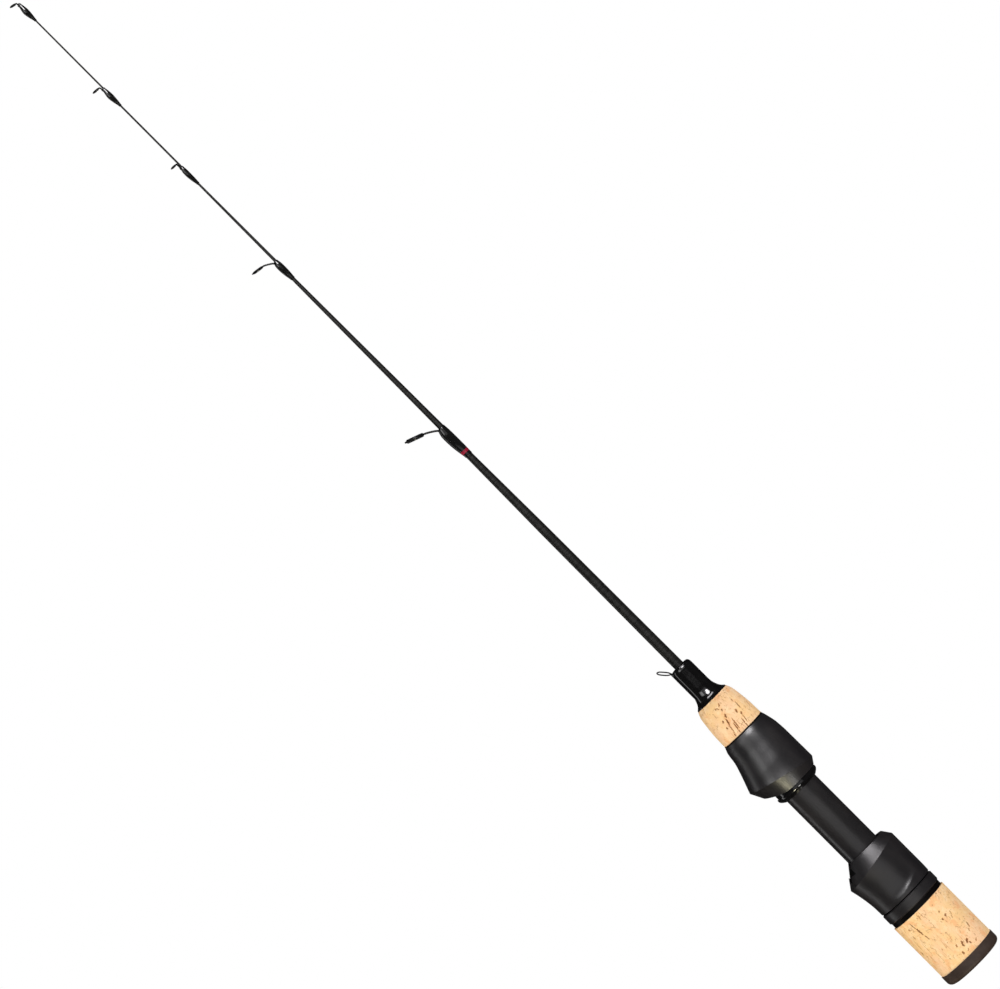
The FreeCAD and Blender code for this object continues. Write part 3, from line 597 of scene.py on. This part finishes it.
def grip(name, stations, marks, seed, node):
    """Cork grip: a turned body with pits, pores and a few long cracks sunk into it."""
    chance = random.Random(seed)
    x0, x1 = span(node)
    r = wide(node)
    grains = []
    for per_mm, lengths, widths, tilt, depths in (
            (7, (0.5, 1.6), (0.3, 0.7), 0.35, (0.03, 0.12)),
            (0.9, (1.0, 4.5), (0.35, 0.8), 0.2, (0.12, 0.35))):
        for _ in range(int((x1 - x0) * per_mm)):
            grains.append((chance.uniform(x0, x1), chance.uniform(-math.pi, math.pi),
                           chance.uniform(*lengths), chance.uniform(*widths),
                           chance.gauss(0, tilt), chance.uniform(*depths)))
    # the marks that face +Y are given one by one, so the loose deep ones keep out of their way
    grains = [g for g in grains if g[5] < 0.12 or not -1.2 < g[1] < 1.2]
    count = 384
    points, rings = surface(stations, count, 0.24, 0.25)
    depth = pit_depths(points, [(x0 + a, math.asin(z / r), *sizes) for a, z, *sizes in marks]
                       + grains)
    bore = stations[-1][1]
    depth[np.hypot(points[:, 1], points[:, 2]) < bore + 0.3] = 0
    moved = pushed(points, -depth)
    made = piece(name, moved, grid_faces(rings, count), "rod", "cork", node)
    co = np.zeros(len(made.data.vertices) * 3)
    made.data.vertices.foreach_get("co", co)
    depth_at = {tuple(np.round(p, 4)): d for p, d in zip(moved, depth)}
    store = made.data.attributes.new("pit", "FLOAT", "POINT")
    store.data.foreach_set("value", [min(1.0, depth_at.get(tuple(p), 0.0) / FULL_PIT)
                                     for p in np.round(co.reshape(-1, 3) / MM, 4)])


def make_grips():
    bore, tube = wide("blank"), wide("seat_tube")
    x0, x1 = span("rear_grip")
    r, end = wide("rear_grip"), span("seat_tube")[0]
    grip("rear_grip_cork", [(x0, bore), (x0, r), (x1, r), (x1, tube), (end, tube), (end, bore)],
         REAR_MARKS, 11, "rear_grip")
    x0, x1 = span("fore_grip")
    r = wide("fore_grip")
    grip("fore_grip_cork", [(x0, bore), (x0, r), (x0 + 6.5, r - 0.2, True),
                            (x0 + 12.5, r - 0.8, True), (x0 + 16.2, r - 1.35, True),
                            (x1, r - 2.55), (x1, bore)], FORE_MARKS, 23, "fore_grip")


# ---------------------------------------------------------------- reel seat

def make_cap():
    x0, x1 = span("butt_cap")
    r, bore = wide("butt_cap"), wide("blank")
    turned("butt_cap_rubber", [
        (x0, 0.4), (x0, 1.5), (x0 + 0.02, r - 2.6, True), (x0 + 0.28, r - 1.55, True),
        (x0 + 0.85, r - 0.70, True), (x0 + 1.7, r - 0.15, True), (x0 + 2.5, r, True),
        (x1, r), (x1, bore - 0.05), (x1 - 0.05, 0.4)], "rod", "cap_rubber", "butt_cap",
        step=0.4, crowd=0.2)


def make_tube():
    """Seat tube with a helical thread and, along its back, the keyway of the sliding hood."""
    x0, x1 = span("seat_tube")
    r, bore = wide("seat_tube"), wide("front_arbor")
    start, pitch, turns, deep = x0 + 8.4, 2.0, 9, 0.6
    end = start + pitch * turns

    def helix(x, y, z):
        phase = ((x - start) / pitch + np.arctan2(z, y) / (2 * math.pi)) % 1.0
        crest = np.clip((np.abs(phase - 0.5) - 0.16) / 0.18, 0, 1)
        fade = np.clip((x - start) / 1.2, 0, 1) * np.clip((end - x) / 1.2, 0, 1)
        return np.where(np.hypot(y, z) > r - 0.02, -deep * (1 - crest) * fade, 0)

    rows = [(x, r, True) for x in np.arange(start, end, 0.12)]
    tube = turned("seat_tube_satin", [
        (x0, bore), (x0, r), *rows, (end + 1, r, True), (x1 - 20, r, True), (x1, r),
        (x1, bore)], "rod", "seat_tube_satin", "seat_tube", step=2.0, shape=helix)
    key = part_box("hood_key")[1]
    half, travel, depth = key.y / MM + 0.1, 12.2, 1.14
    cut(tube, prism(corners(start + 7.4, key.x / MM + travel, -half, half), r - depth, r + 1,
                    "XY"))


def make_rings():
    # the trim rings are black, and their near-black dull finish also stands in as painted shade
    # for the gaps where the cork meets the reel seat
    for trim, inner, crowd in (("rear_trim", "seat_tube", 0.25), ("front_trim", "blank", 0.15)):
        x0, x1 = span(trim + "_ring")
        r, bore = wide(trim + "_ring"), wide(inner)
        turned(trim + "_sleeve", [(x0, bore), (x0, r), (x1, r), (x1, bore)], "rod", "trim_black",
               trim + "_ring", crowd=crowd)
    x0, x1 = span("lock_ring")
    r, bore = wide("lock_ring"), wide("seat_tube") + 0.1
    face, neck, lip, neck_end = x0 + 5.2, r - 3.6, r - 3.0, x1 - 1.0
    turned("lock_ring_satin", [
        (x0, bore), (x0, r - 0.5), (x0 + 0.5, r), (face - 0.40, r), (face, r - 0.55),
        (face, neck), (neck_end, neck), (neck_end, lip), (x1 - 0.3, lip), (x1, lip - 0.3),
        (x1, bore)], "lock_ring", "seat_satin", "lock_ring", count=160, crowd=0.16)


def ease(t):
    """Smooth step from 0 to 1."""
    return t * t * (3 - 2 * t)


def scoop(x, y, z):
    """Thumb hollow on each side of the sliding hood, ending in a curved step near its rear."""
    hood_rear = span("sliding_hood")[0]
    radius = np.hypot(y, z)
    rise = np.arctan2(z, np.abs(y))
    rear = hood_rear + 1.7 + 4.6 * np.clip(np.sin(rise) + 0.02, 0, 1) ** 1.2
    back = 1 - (1 - np.clip((x - rear) / 3.4, 0, 1)) ** 2
    front = np.clip((hood_rear + 18.5 - x) / 15.0, 0, 1)
    band = np.clip((rise + 0.55) / 0.5, 0, 1) * np.clip((0.85 - rise) / 0.35, 0, 1)
    return -0.75 * back * ease(front) * ease(band) * (radius > 12.9)


def make_sliding_hood():
    """Hood shell: barrel, slanted edge, cone, hollow mouth, snap groove and foot slot."""
    x0, x1 = span("sliding_hood")
    r, bore = 14.5, wide("seat_tube") + 0.1
    snap = wide("lock_ring") - 3.35
    groove_x, groove_end = x0 + 1.55, x0 + 3.05
    hood = turned("sliding_hood_shell", [
        (x0, r - 0.6), (x0 + 0.4, r - 0.12, x0 + 0.4, r - 0.15),
        (x0 + 4.4, r, x0 + 4.4, r - 0.05, True), (x0 + 10.9, r, x0 + 10.9, r + 0.7, True),
        (x0 + 23.1, r, x0 + 17.6, r + 2.1),
        (x1, r - 2.8, x1, r - 4.7), (x1, r - 3.25, x1, r - 5.15),
        (x0 + 13.4, bore + 0.3, x0 + 13.4, bore + 0.1), (x0 + 13.0, bore),
        (groove_end, bore), (groove_end, snap + 0.6), (groove_x, snap + 0.6), (groove_x, snap),
        (x0, snap)], "sliding_hood", "seat_satin", "sliding_hood", count=224, step=0.5,
        crowd=0.28, shape=scoop)
    top, low, slot_half, whole_width = -7.64, -13.9, 5.8, 16.6
    slot = [(x0 + 8.6, top), (x1 + 1, top), (x1 + 1, low), (x0 + 14.4, low), (x0 + 8.6, -11.8)]
    key_lo, key_hi = (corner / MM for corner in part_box("hood_key"))
    cut(hood, prism(slot, -slot_half, slot_half),
        prism(corners(x0 + 22.3, x1 + 1, -17.6, -9.6), -whole_width, whole_width),
        prism(corners(key_lo.x, key_hi.x, key_lo.z, key_hi.z), -key_hi.y, key_hi.y))


def make_front():
    """Front collar with its rounded flange, and the fixed hood with its arched mouth."""
    x0, x1 = span("front_collar")
    tube, r = wide("seat_tube"), wide("front_collar")
    bore = r - 0.65
    turned("front_collar_gloss", [
        (x0, tube), (x0, tube + 0.5), (x0 + 0.35, r - 1.75, True), (x0 + 0.95, r - 0.95, True),
        (x0 + 1.7, r - 0.25, True), (x0 + 2.3, r, True), (x0 + 3.1, r), (x0 + 3.1, bore),
        (x1, bore), (x1, tube)], "rod", "trim_gloss", "front_collar", step=0.25, crowd=0.18)

    mouth, front = span("front_hood")
    hood = turned("front_hood_shell", [
        (front, 11.45), (front - 2.3, 12.1, front - 2.3, 12.3, True),
        (front - 7.3, 13.1, front - 7.3, 13.05, True),
        (front - 12.4, 13.45, front - 12.4, 14.55, True),
        (front - 18.6, 13.55, front - 18.6, 16.75, True),
        (front - 29.0, 13.65, front - 21.7, 17.85),
        (mouth, 11.5, mouth, 12.6), (mouth, bore), (x1, bore), (x1, tube), (front, tube)],
        "rod", "seat_satin", "front_hood", count=224, step=0.5, crowd=0.28)
    size, reach = 17.0, 4.5
    arc = [(mouth + reach - size + size * math.cos(a), size * math.sin(a))
           for a in np.linspace(-math.pi, math.pi, 120, endpoint=False)]
    pocket = [ring((x, bore - 0.1, x, low), 96)
              for x, low in ((mouth - 1, 13.4), (mouth + 15.3, 12.0))]
    cut(hood, prism(arc, -22.0, 0.0, "XY"),
        tool_mesh(np.concatenate(pocket), grid_faces(2, 96, closed=False)))


# ---------------------------------------------------------------- nose cone, keeper, blank

def make_nose():
    x0, x1 = span("nose_cone")
    blank = wide("blank")

    def ridge(x, y, z):
        """Low ridge along the reel side, over the two legs of the hook keeper."""
        off, size = 3.7, 1.9
        radius, angle = np.hypot(y, z), np.arctan2(y, -z)
        aside = off * np.sin(angle)
        reach = off * np.cos(angle) + np.sqrt(np.clip(size**2 - aside**2, 0, None))
        reach = np.where(np.abs(aside) < size, reach, 0) * (np.cos(angle) > 0)
        fade = np.clip((x - x0 - 4.2) / 1.5, 0, 1) * np.clip((x1 + 0.5 - x) / 0.9, 0, 1)
        return np.clip(reach - radius, 0, None) * fade * (radius > 4.4)

    turned("nose_cone_gloss", [
        (x0, blank), (x0, 8.45), (x0 + 0.45, 8.42), (x0 + 0.9, 7.86, True),
        (x0 + 1.6, 7.2, True), (x0 + 2.5, 6.6, True), (x0 + 4.3, 5.86, True),
        (x0 + 6.0, 5.42, True), (x0 + 8.0, 5.3, True), (x1 - 2.4, 5.27, True),
        (x1 - 1.3, 5.1, True), (x1 - 0.5, 4.7, True), (x1 - 0.1, 4.1, True),
        (x1, 3.4, True), (x1, blank)], "rod", "trim_gloss", "nose_cone", step=0.3,
        crowd=0.2, shape=ridge)

    # the keeper's two legs lie in the ridge; its loop leans out and is turned about its length
    drop, gap, bend, lean, twist = -4.55, 0.95, x1 - 0.9, math.radians(41), math.radians(30)
    outward = Vector((math.cos(lean), 0, -math.sin(lean)))
    across = Vector((0, math.cos(twist), 0)) + outward.cross(Vector((0, 1, 0))) * math.sin(twist)
    heel, turn = Vector((x1 - 13.3, 0, drop)), Vector((bend, 0, drop))
    loop = [turn + outward * 7.2]
    for reach, spread in ((6.98, 0.62), (6.2, 1.22), (4.3, 1.40), (2.3, 1.2)):
        loop = [turn + outward * reach + across * spread, *loop,
                turn + outward * reach - across * spread]
    side = Vector((0, gap, 0))
    legs = [heel, heel.lerp(turn, 0.5), turn - Vector((0.8, 0, 0)), turn + outward * 0.4]
    path = [p + side for p in legs] + loop + [p - side for p in reversed(legs)]
    points, faces = swept(curve_through(path, 6), 0.30, 14)
    piece("hook_keeper_wire", points, faces, "rod", "wire_black", "hook_keeper")


# Each guide: ring outer radius, rim, thickness, lean in degrees, leg thickness and width, how far
# the wrap stands proud at the back and on the reel side, the thickness of the ceramic ring, the
# blank's radius at both ends of the wrap, and how blunt the wrap's tip end is.
GUIDES = {
    "guide_1": (5.05, 0.75, 0.9, 20.0, 0.95, 1.8, 0.20, 1.35, 2.0, 1.66, 1.43, 1.0),
    "guide_2": (3.30, 0.60, 0.7, 8.5, 0.8, 1.3, 0.40, 0.90, 1.2, 0.86, 0.72, 1.0),
    "guide_3": (1.70, 0.40, 0.7, 2.0, 0.65, 1.0, 0.20, 0.85, 1.0, 0.50, 0.45, 0.9),
    "guide_4": (1.95, 0.42, 0.7, 4.0, 0.65, 1.0, 0.49, 1.01, 1.0, 0.42, 0.40, 0.6),
    "tip_top": (1.75, 0.40, 0.7, 12.0, 0.65, 1.0, 0.55, 1.11, 1.0, 0.37, 0.36, 0.6),
}


PARALLEL = 186.0              # where the blank's parallel butt ends


def blank_taper():
    """(x, radius) where the blank's taper changes, from its parallel butt to the tip."""
    rows = [(PARALLEL, wide("blank")), (270.0, 2.15), (383.0, 1.10), (span("blank")[1], 0.35)]
    for guide, sizes in GUIDES.items():
        heel, root = span(guide + "_thread")
        rows += [(heel, sizes[9]), (root, sizes[10])]
    return np.array(sorted(rows)).T


BLANK = blank_taper()


def blank_radius(x):
    return float(np.interp(x, *BLANK))


def make_blank():
    x0, x1 = span("blank")
    r = wide("blank")
    rows = [(x, blank_radius(x), True) for x in np.linspace(190, x1 - 6, 90)]
    turned("blank_graphite", [
        (x0, 1.2), (x0, r), (PARALLEL, r, True), *rows, (x1, 0.35), (x1, 0.08), (x1 - 0.4, 0.08),
        (300.2, 0.08), (300.0, 1.2)], "rod", "graphite", "blank", count=48, step=4.0,
        crowd=0.08)


# ---------------------------------------------------------------- line guides

WRAP_STEP = 0.25              # how far the wrap's ends stand off the blank
SUNK = 0.01                   # how far a wrap reaches into the blank, so that no gap shows
COAT, OVERRUN = 0.05, 0.6     # thickness of the epoxy, and how far it runs past the thread
TURN, BEAD = 0.24, 0.0015     # the thread's pitch, and the depth between its turns


def leaning(points, x, z, lean):
    """Turns points about Y by the ring's lean and moves them to the ring's centre."""
    c, s = math.cos(math.radians(-lean)), math.sin(math.radians(-lean))
    px, py, pz = np.asarray(points).T
    return np.stack([x + px * c + pz * s, py, z - px * s + pz * c], axis=1)


def round_loop(profile, count):
    """Closed ring of revolution about X from a closed outline of (x, radius)."""
    rows = np.array(profile)
    points = np.concatenate([ring((x, r, x, r), count) for x, r in rows])
    return points, grid_faces(len(rows), count)


def rounded(outline, radius):
    """Closed outline with every corner rounded to the radius, or less on short sides."""
    result, count, steps = [], len(outline), 5
    for i in range(count):
        p, a, b = (np.array(outline[j % count], float) for j in (i, i - 1, i + 1))
        la, lb = np.linalg.norm(a - p), np.linalg.norm(b - p)
        trim = min(radius, la * 0.45, lb * 0.45)
        start, end = p + (a - p) / la * trim, p + (b - p) / lb * trim
        for k in range(steps + 1):
            t = k / steps
            result.append((1 - t)**2 * start + 2 * t * (1 - t) * p + t * t * end)
    return result


def wrap_path(heel, root, heel_r, root_r, back, reel, blunt, wall, fine):
    """Stations of a wrap's smooth spindle, `wall` inside its full size."""
    fullness = ((0.0, 0.0, 0.0), (0.25, 0.60, 0.55), (0.6, 1.0, 1.0),
                (0.9, 0.66 * blunt, 0.86 * blunt), (1.0, 0.10 * blunt, 0.50 * blunt))
    rows = []
    for along, back_part, reel_part in fullness:
        x = heel + along * (root - heel)
        base = heel_r + along * (root_r - heel_r) + WRAP_STEP - wall
        rows.append((x, base + back_part * back, x, base + reel_part * reel))
    rows = np.array(rows)
    slopes = np.gradient(rows, rows[:, 0], axis=0)
    return np.array([hermite(rows, slopes, rows[:, 0], x)
                     for x in np.linspace(rows[0, 0], rows[-1, 0], fine)])


def closed_wrap(dense, count, nose, overrun=0.0):
    """Points and faces of a spindle, and how many of the points are on its outer side.

    Its ends round off to the blank, from `nose` inside its length to `overrun` past it.
    """
    def bore(x):
        return blank_radius(x) - SUNK

    first, last = dense[0, 0] - overrun, dense[-1, 0] + overrun
    body = dense[(dense[:, 0] > dense[0, 0] + nose) & (dense[:, 0] < dense[-1, 0] - nose)]
    ends = []
    for station, outward in ((body[0], -1), (body[-1], 1)):
        x, back, _, reel = station
        reach, inner = (last - x if outward > 0 else x - first), bore(x)
        ends.append([])
        for turn in np.radians((15, 32, 48, 62, 75, 84, 90)):
            at, fall = x + outward * reach * math.sin(turn), math.cos(turn)
            ends[-1].append((at, inner + (back - inner) * fall, at, inner + (reel - inner) * fall))
    inside = [(x, bore(x), x, bore(x)) for x in np.linspace(last, first, 12)[1:-1]]
    stations = list(body) + ends[1] + inside + ends[0][::-1]
    points = np.concatenate([ring(station, count) for station in stations])
    return points, grid_faces(len(stations), count), len(body) * count


def make_guide(guide):
    """Hoop and leg, ceramic ring, winding and epoxy coat of one guide or of the tip-top."""
    (size, rim, thick, lean, leg, leg_width, back, reel, insert, heel_r, root_r,
     blunt) = GUIDES[guide]
    ring_lo, ring_hi = (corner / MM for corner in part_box(guide + "_ring"))
    centre = (ring_lo + ring_hi) / 2
    thread_lo, thread_hi = (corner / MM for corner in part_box(guide + "_thread"))
    heel, root = thread_lo.x, thread_hi.x

    inner = size - rim
    half = thick / 2
    hoop = rounded([(-half, inner - 0.02), (-half * 0.9, size - 0.3), (-half * 0.35, size),
                    (half * 0.35, size), (half * 0.9, size - 0.3), (half, inner - 0.02)], 0.16)
    hoop_points, hoop_faces = round_loop(hoop, 96)
    hoop_points = leaning(hoop_points, centre.x, centre.z, lean)

    # leg: out of the wrap, away from the blank in one smooth bend, and round into the hoop
    spread = math.radians(lean)
    foot_x, foot_z = centre.x - size * math.sin(spread), centre.z + size * math.cos(spread)
    under = -(root_r + 0.5 * leg)
    fall = foot_z - under
    path = [(heel + 2.0, 0, -(heel_r + 0.30)), (heel + 4.5, 0, -(heel_r + 0.42)),
            (root - 1.5, 0, -(root_r + 0.42)), (root, 0, -(root_r + 0.55)),
            (root + 0.30 * (foot_x - root), 0, under + 0.22 * fall),
            (root + 0.72 * (foot_x - root), 0, under + 0.66 * fall),
            (foot_x + 0.05, 0, foot_z - 0.25 * rim)]
    line = curve_through(path, 7)
    flat = []
    for k in range(len(line)):
        t = k / (len(line) - 1)
        blade = 0.5 + 0.5 * min(1, t / 0.25)
        foot = min(1, max(0, (t - 0.38) / 0.12))
        neck = 1 - 0.22 * math.sin(math.pi * min(1, max(0, (t - 0.55) / 0.45)))
        flat.append((leg_width / 2 * blade * neck / (leg / 2),
                     (0.55 + 0.45 * foot) * blade))
    leg_points, leg_faces = swept(line, leg / 2, 20, flat)
    shift = len(hoop_points)
    points = np.concatenate([hoop_points, np.array([tuple(p) for p in leg_points])])
    faces = hoop_faces + [tuple(i + shift for i in face) for face in leg_faces]
    piece(guide + "_frame_wire", points, faces, "rod", "wire_black", guide + "_frame")

    bore = size - 2.1 * rim
    proud = insert / 2
    lens = rounded([(-half * 0.8, inner), (-0.62 * proud, inner - 0.3 * rim),
                    (-proud, bore + 0.35 * rim), (-0.4 * proud, bore), (0.4 * proud, bore),
                    (proud, bore + 0.35 * rim), (0.62 * proud, inner - 0.3 * rim),
                    (half * 0.8, inner)], 0.22)
    points, faces = round_loop(lens, 96)
    piece(guide + "_ring_ceramic", leaning(points, centre.x, centre.z, lean), faces, "rod",
          "ceramic_black", guide + "_ring")

    # thread: one bead per turn, wound as a single long helix over blank and foot
    count = 40
    fine = int((root - heel) / (0.05))
    dense = wrap_path(heel, root, heel_r, root_r, back, reel, blunt, COAT, fine)
    points, faces, outer = closed_wrap(dense, count, 0.08)
    x, y, z = points.T
    phase = (x / TURN + np.arctan2(z, y) / (2 * math.pi)) % 1.0
    sink = BEAD * (1 - np.sin(math.pi * phase))
    sink[outer:] = 0
    stands_for = [node for node in (guide + "_thread", guide + "_trim_band")
                  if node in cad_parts]
    spool = piece(guide + "_winding", pushed(points, -sink), faces, "rod", "thread_black",
                  *stands_for)
    if len(stands_for) > 1:
        band_lo, band_hi = span(stands_for[1])
        spool.data.materials.append(LOOKS["thread_red"])
        for face in spool.data.polygons:
            face.material_index = int(band_lo < face.center.x / MM < band_hi)

    coat = wrap_path(heel, root, heel_r, root_r, back, reel, blunt, 0.0, 120)
    points, faces, _ = closed_wrap(coat, 64, 0.12, OVERRUN)
    made = piece(guide + "_coat", points, faces, "rod", "epoxy_clear", guide + "_epoxy")
    bare = made.data.attributes.new("bare", "FLOAT", "POINT")
    ends = [vertex.co.x / MM for vertex in made.data.vertices]
    bare.data.foreach_set("value", [float(not heel + 0.1 < x < root - 0.1) for x in ends])


# ---------------------------------------------------------------- CAD pieces that stay

def dress(node, slot):
    """Gives a CAD piece that keeps its own mesh the finish of its slot."""
    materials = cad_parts[node].data.materials
    materials.clear()
    materials.append(LOOKS[slot])


# ---------------------------------------------------------------- camera, light and floor

DISTANCE, AIM, ROLL = 2.8, Vector((0.2947, 0.0, -0.0026)), math.radians(45.08)
PIXELS_PER_METRE, IMAGE_WIDTH, SENSOR = 2264.6, 1000.0, 36.0
FLOOR = -0.45
FILL, BEHIND = 0.10, 0.03     # strength of the sky, in front of the rod and behind it
LAMP_REACH = 2.0
WHITE = (1.0, 1.0, 1.0)
# name, degrees towards the tip and towards the back, width and height in metres, radiance,
# colour, whether the lamp lights matt surfaces, and whether it shows in glossy ones
LAMPS = (
    ("front_soft", 0.0, 0.0, 2.3, 2.3, 1.80, WHITE, True, False),
    ("back_fill", 0.0, 78.0, 1.6, 1.6, 3.6, WHITE, True, False),
    ("reel_fill", 0.0, -78.0, 1.2, 1.2, 0.8, WHITE, True, False),
    ("tip_box", 23.0, 2.0, 1.2, 2.2, 1.05, (0.99, 0.98, 1.0), False, True),
    ("butt_box", -23.0, 0.0, 1.2, 2.2, 1.0, (0.99, 0.98, 1.0), False, True),
    ("reel_strip", 0.0, -102.0, 2.6, 0.40, 2.4, WHITE, False, True),
    ("tip_side", 67.0, 8.0, 0.45, 1.6, 16.0, (1.0, 0.97, 1.0), False, True),
    ("tip_oval", 37.0, 14.0, 0.60, 1.00, 34.0, (1.0, 0.98, 1.0), False, True),
    ("butt_side", -68.0, -18.0, 0.34, 0.34, 44.0, (1.0, 0.94, 0.66), True, True),
    ("butt_oval", -64.0, 2.0, 0.26, 0.32, 32.0, (1.0, 0.98, 0.94), False, True),
    ("tip_reel", 26.0, -33.0, 0.80, 0.80, 5.5, WHITE, True, True),
    ("far_soft", 180.0, 0.0, 1.6, 1.6, 3.2, WHITE, True, False),
    ("far_box", 180.0, 0.0, 1.0, 0.7, 2.6, WHITE, False, True),
)


def make_camera():
    """Level with the rod and square to it, far off, rolled so that the tip points up and left."""
    data = bpy.data.cameras.new("camera")
    data.sensor_width = SENSOR
    data.lens = SENSOR * PIXELS_PER_METRE * DISTANCE / IMAGE_WIDTH
    data.clip_start, data.clip_end = 0.1, 50.0
    camera = bpy.data.objects.new("camera", data)
    bpy.context.scene.collection.objects.link(camera)
    right = Vector((-math.cos(ROLL), 0, math.sin(ROLL)))
    up = Vector((math.sin(ROLL), 0, math.cos(ROLL)))
    back = Vector((0, 1, 0))
    turn = Matrix((right, up, back)).transposed().to_4x4()
    turn.translation = AIM + back * DISTANCE
    camera.matrix_world = turn
    bpy.context.scene.camera = camera


def make_sky():
    """Plain white behind the rod; as light, a weak sky that is stronger in front of it."""
    world = bpy.data.worlds.new("studio")
    bpy.context.scene.world = world
    world.use_nodes = True
    nodes, link = world.node_tree.nodes, world.node_tree.links.new
    nodes.clear()
    out, mix, path, fill, seen, coords, split, ramp = (nodes.new("ShaderNode" + kind) for kind in (
        "OutputWorld", "MixShader", "LightPath", "Background", "Background", "TexCoord",
        "SeparateXYZ", "MapRange"))
    ramp.interpolation_type = "SMOOTHSTEP"
    for key, number in (("From Min", 0.1), ("From Max", -0.4), ("To Min", FILL),
                        ("To Max", BEHIND)):
        ramp.inputs[key].default_value = number
    fill.inputs["Color"].default_value = seen.inputs["Color"].default_value = (*WHITE, 1)
    link(coords.outputs["Generated"], split.inputs[0])
    link(split.outputs["Y"], ramp.inputs["Value"])
    link(ramp.outputs[0], fill.inputs["Strength"])
    link(path.outputs["Is Camera Ray"], mix.inputs[0])
    link(fill.outputs[0], mix.inputs[1])
    link(seen.outputs[0], mix.inputs[2])
    link(mix.outputs[0], out.inputs["Surface"])


def make_light():
    """Soft studio lamps, all LAMP_REACH from the rod's middle and facing it."""
    middle = Vector((AIM.x, 0, 0))
    for name, tipward, backward, width, height, radiance, colour, matt, glossy in LAMPS:
        a, b = math.radians(tipward), math.radians(backward)
        data = bpy.data.lights.new(name, "AREA")
        data.shape = "ELLIPSE" if name.endswith("oval") else "RECTANGLE"
        data.size, data.size_y = width, height
        data.energy, data.color = radiance * math.pi * width * height, colour
        lamp = bpy.data.objects.new(name, data)
        bpy.context.scene.collection.objects.link(lamp)
        lamp.location = middle + LAMP_REACH * Vector((
            math.sin(a) * math.cos(b), math.cos(a) * math.cos(b), math.sin(b)))
        lamp.rotation_euler = (middle - lamp.location).to_track_quat("-Z", "Y").to_euler()
        lamp.visible_diffuse, lamp.visible_glossy = matt, glossy
    bpy.context.scene.view_settings.view_transform = "Standard"
    bpy.context.scene.view_settings.look = "None"


def make_floor():
    """Pale round table top, well below the rod."""
    count, rows = 96, ((0.0, 0.74), (-0.004, 0.748), (-0.016, 0.748), (-0.02, 0.74))
    turns = [2 * math.pi * k / count for k in range(count)]
    points = [(AIM.x + radius * math.cos(a), radius * math.sin(a), FLOOR + depth)
              for depth, radius in rows for a in turns]
    faces = [face[::-1] for face in grid_faces(len(rows), count, closed=False)]
    floor = mesh_object("floor", points, faces)
    look = Look("floor", (0.86, 0.86, 0.85), 0.7)
    look.mottle(look.noise(60.0, 3.0), 0.3, 0.7, (0.85, 0.85, 0.84), (0.89, 0.89, 0.88))
    floor.data.materials.append(look.material)
    floor.visible_glossy = False


# ---------------------------------------------------------------- the whole rod

make_camera()
make_sky()
make_light()
make_floor()
make_blank()
make_cap()
make_grips()
make_tube()
make_rings()
make_sliding_hood()
make_front()
make_nose()
for guide in GUIDES:
    make_guide(guide)
# the liner's near-black dull finish is partly painted shade for the sliding hood's foot pocket
for node, slot in (("hood_liner", "liner_black"), ("hood_key", "key_metal"),
                   ("rear_arbor", "arbor_foam"), ("front_arbor", "arbor_foam")):
    dress(node, slot)
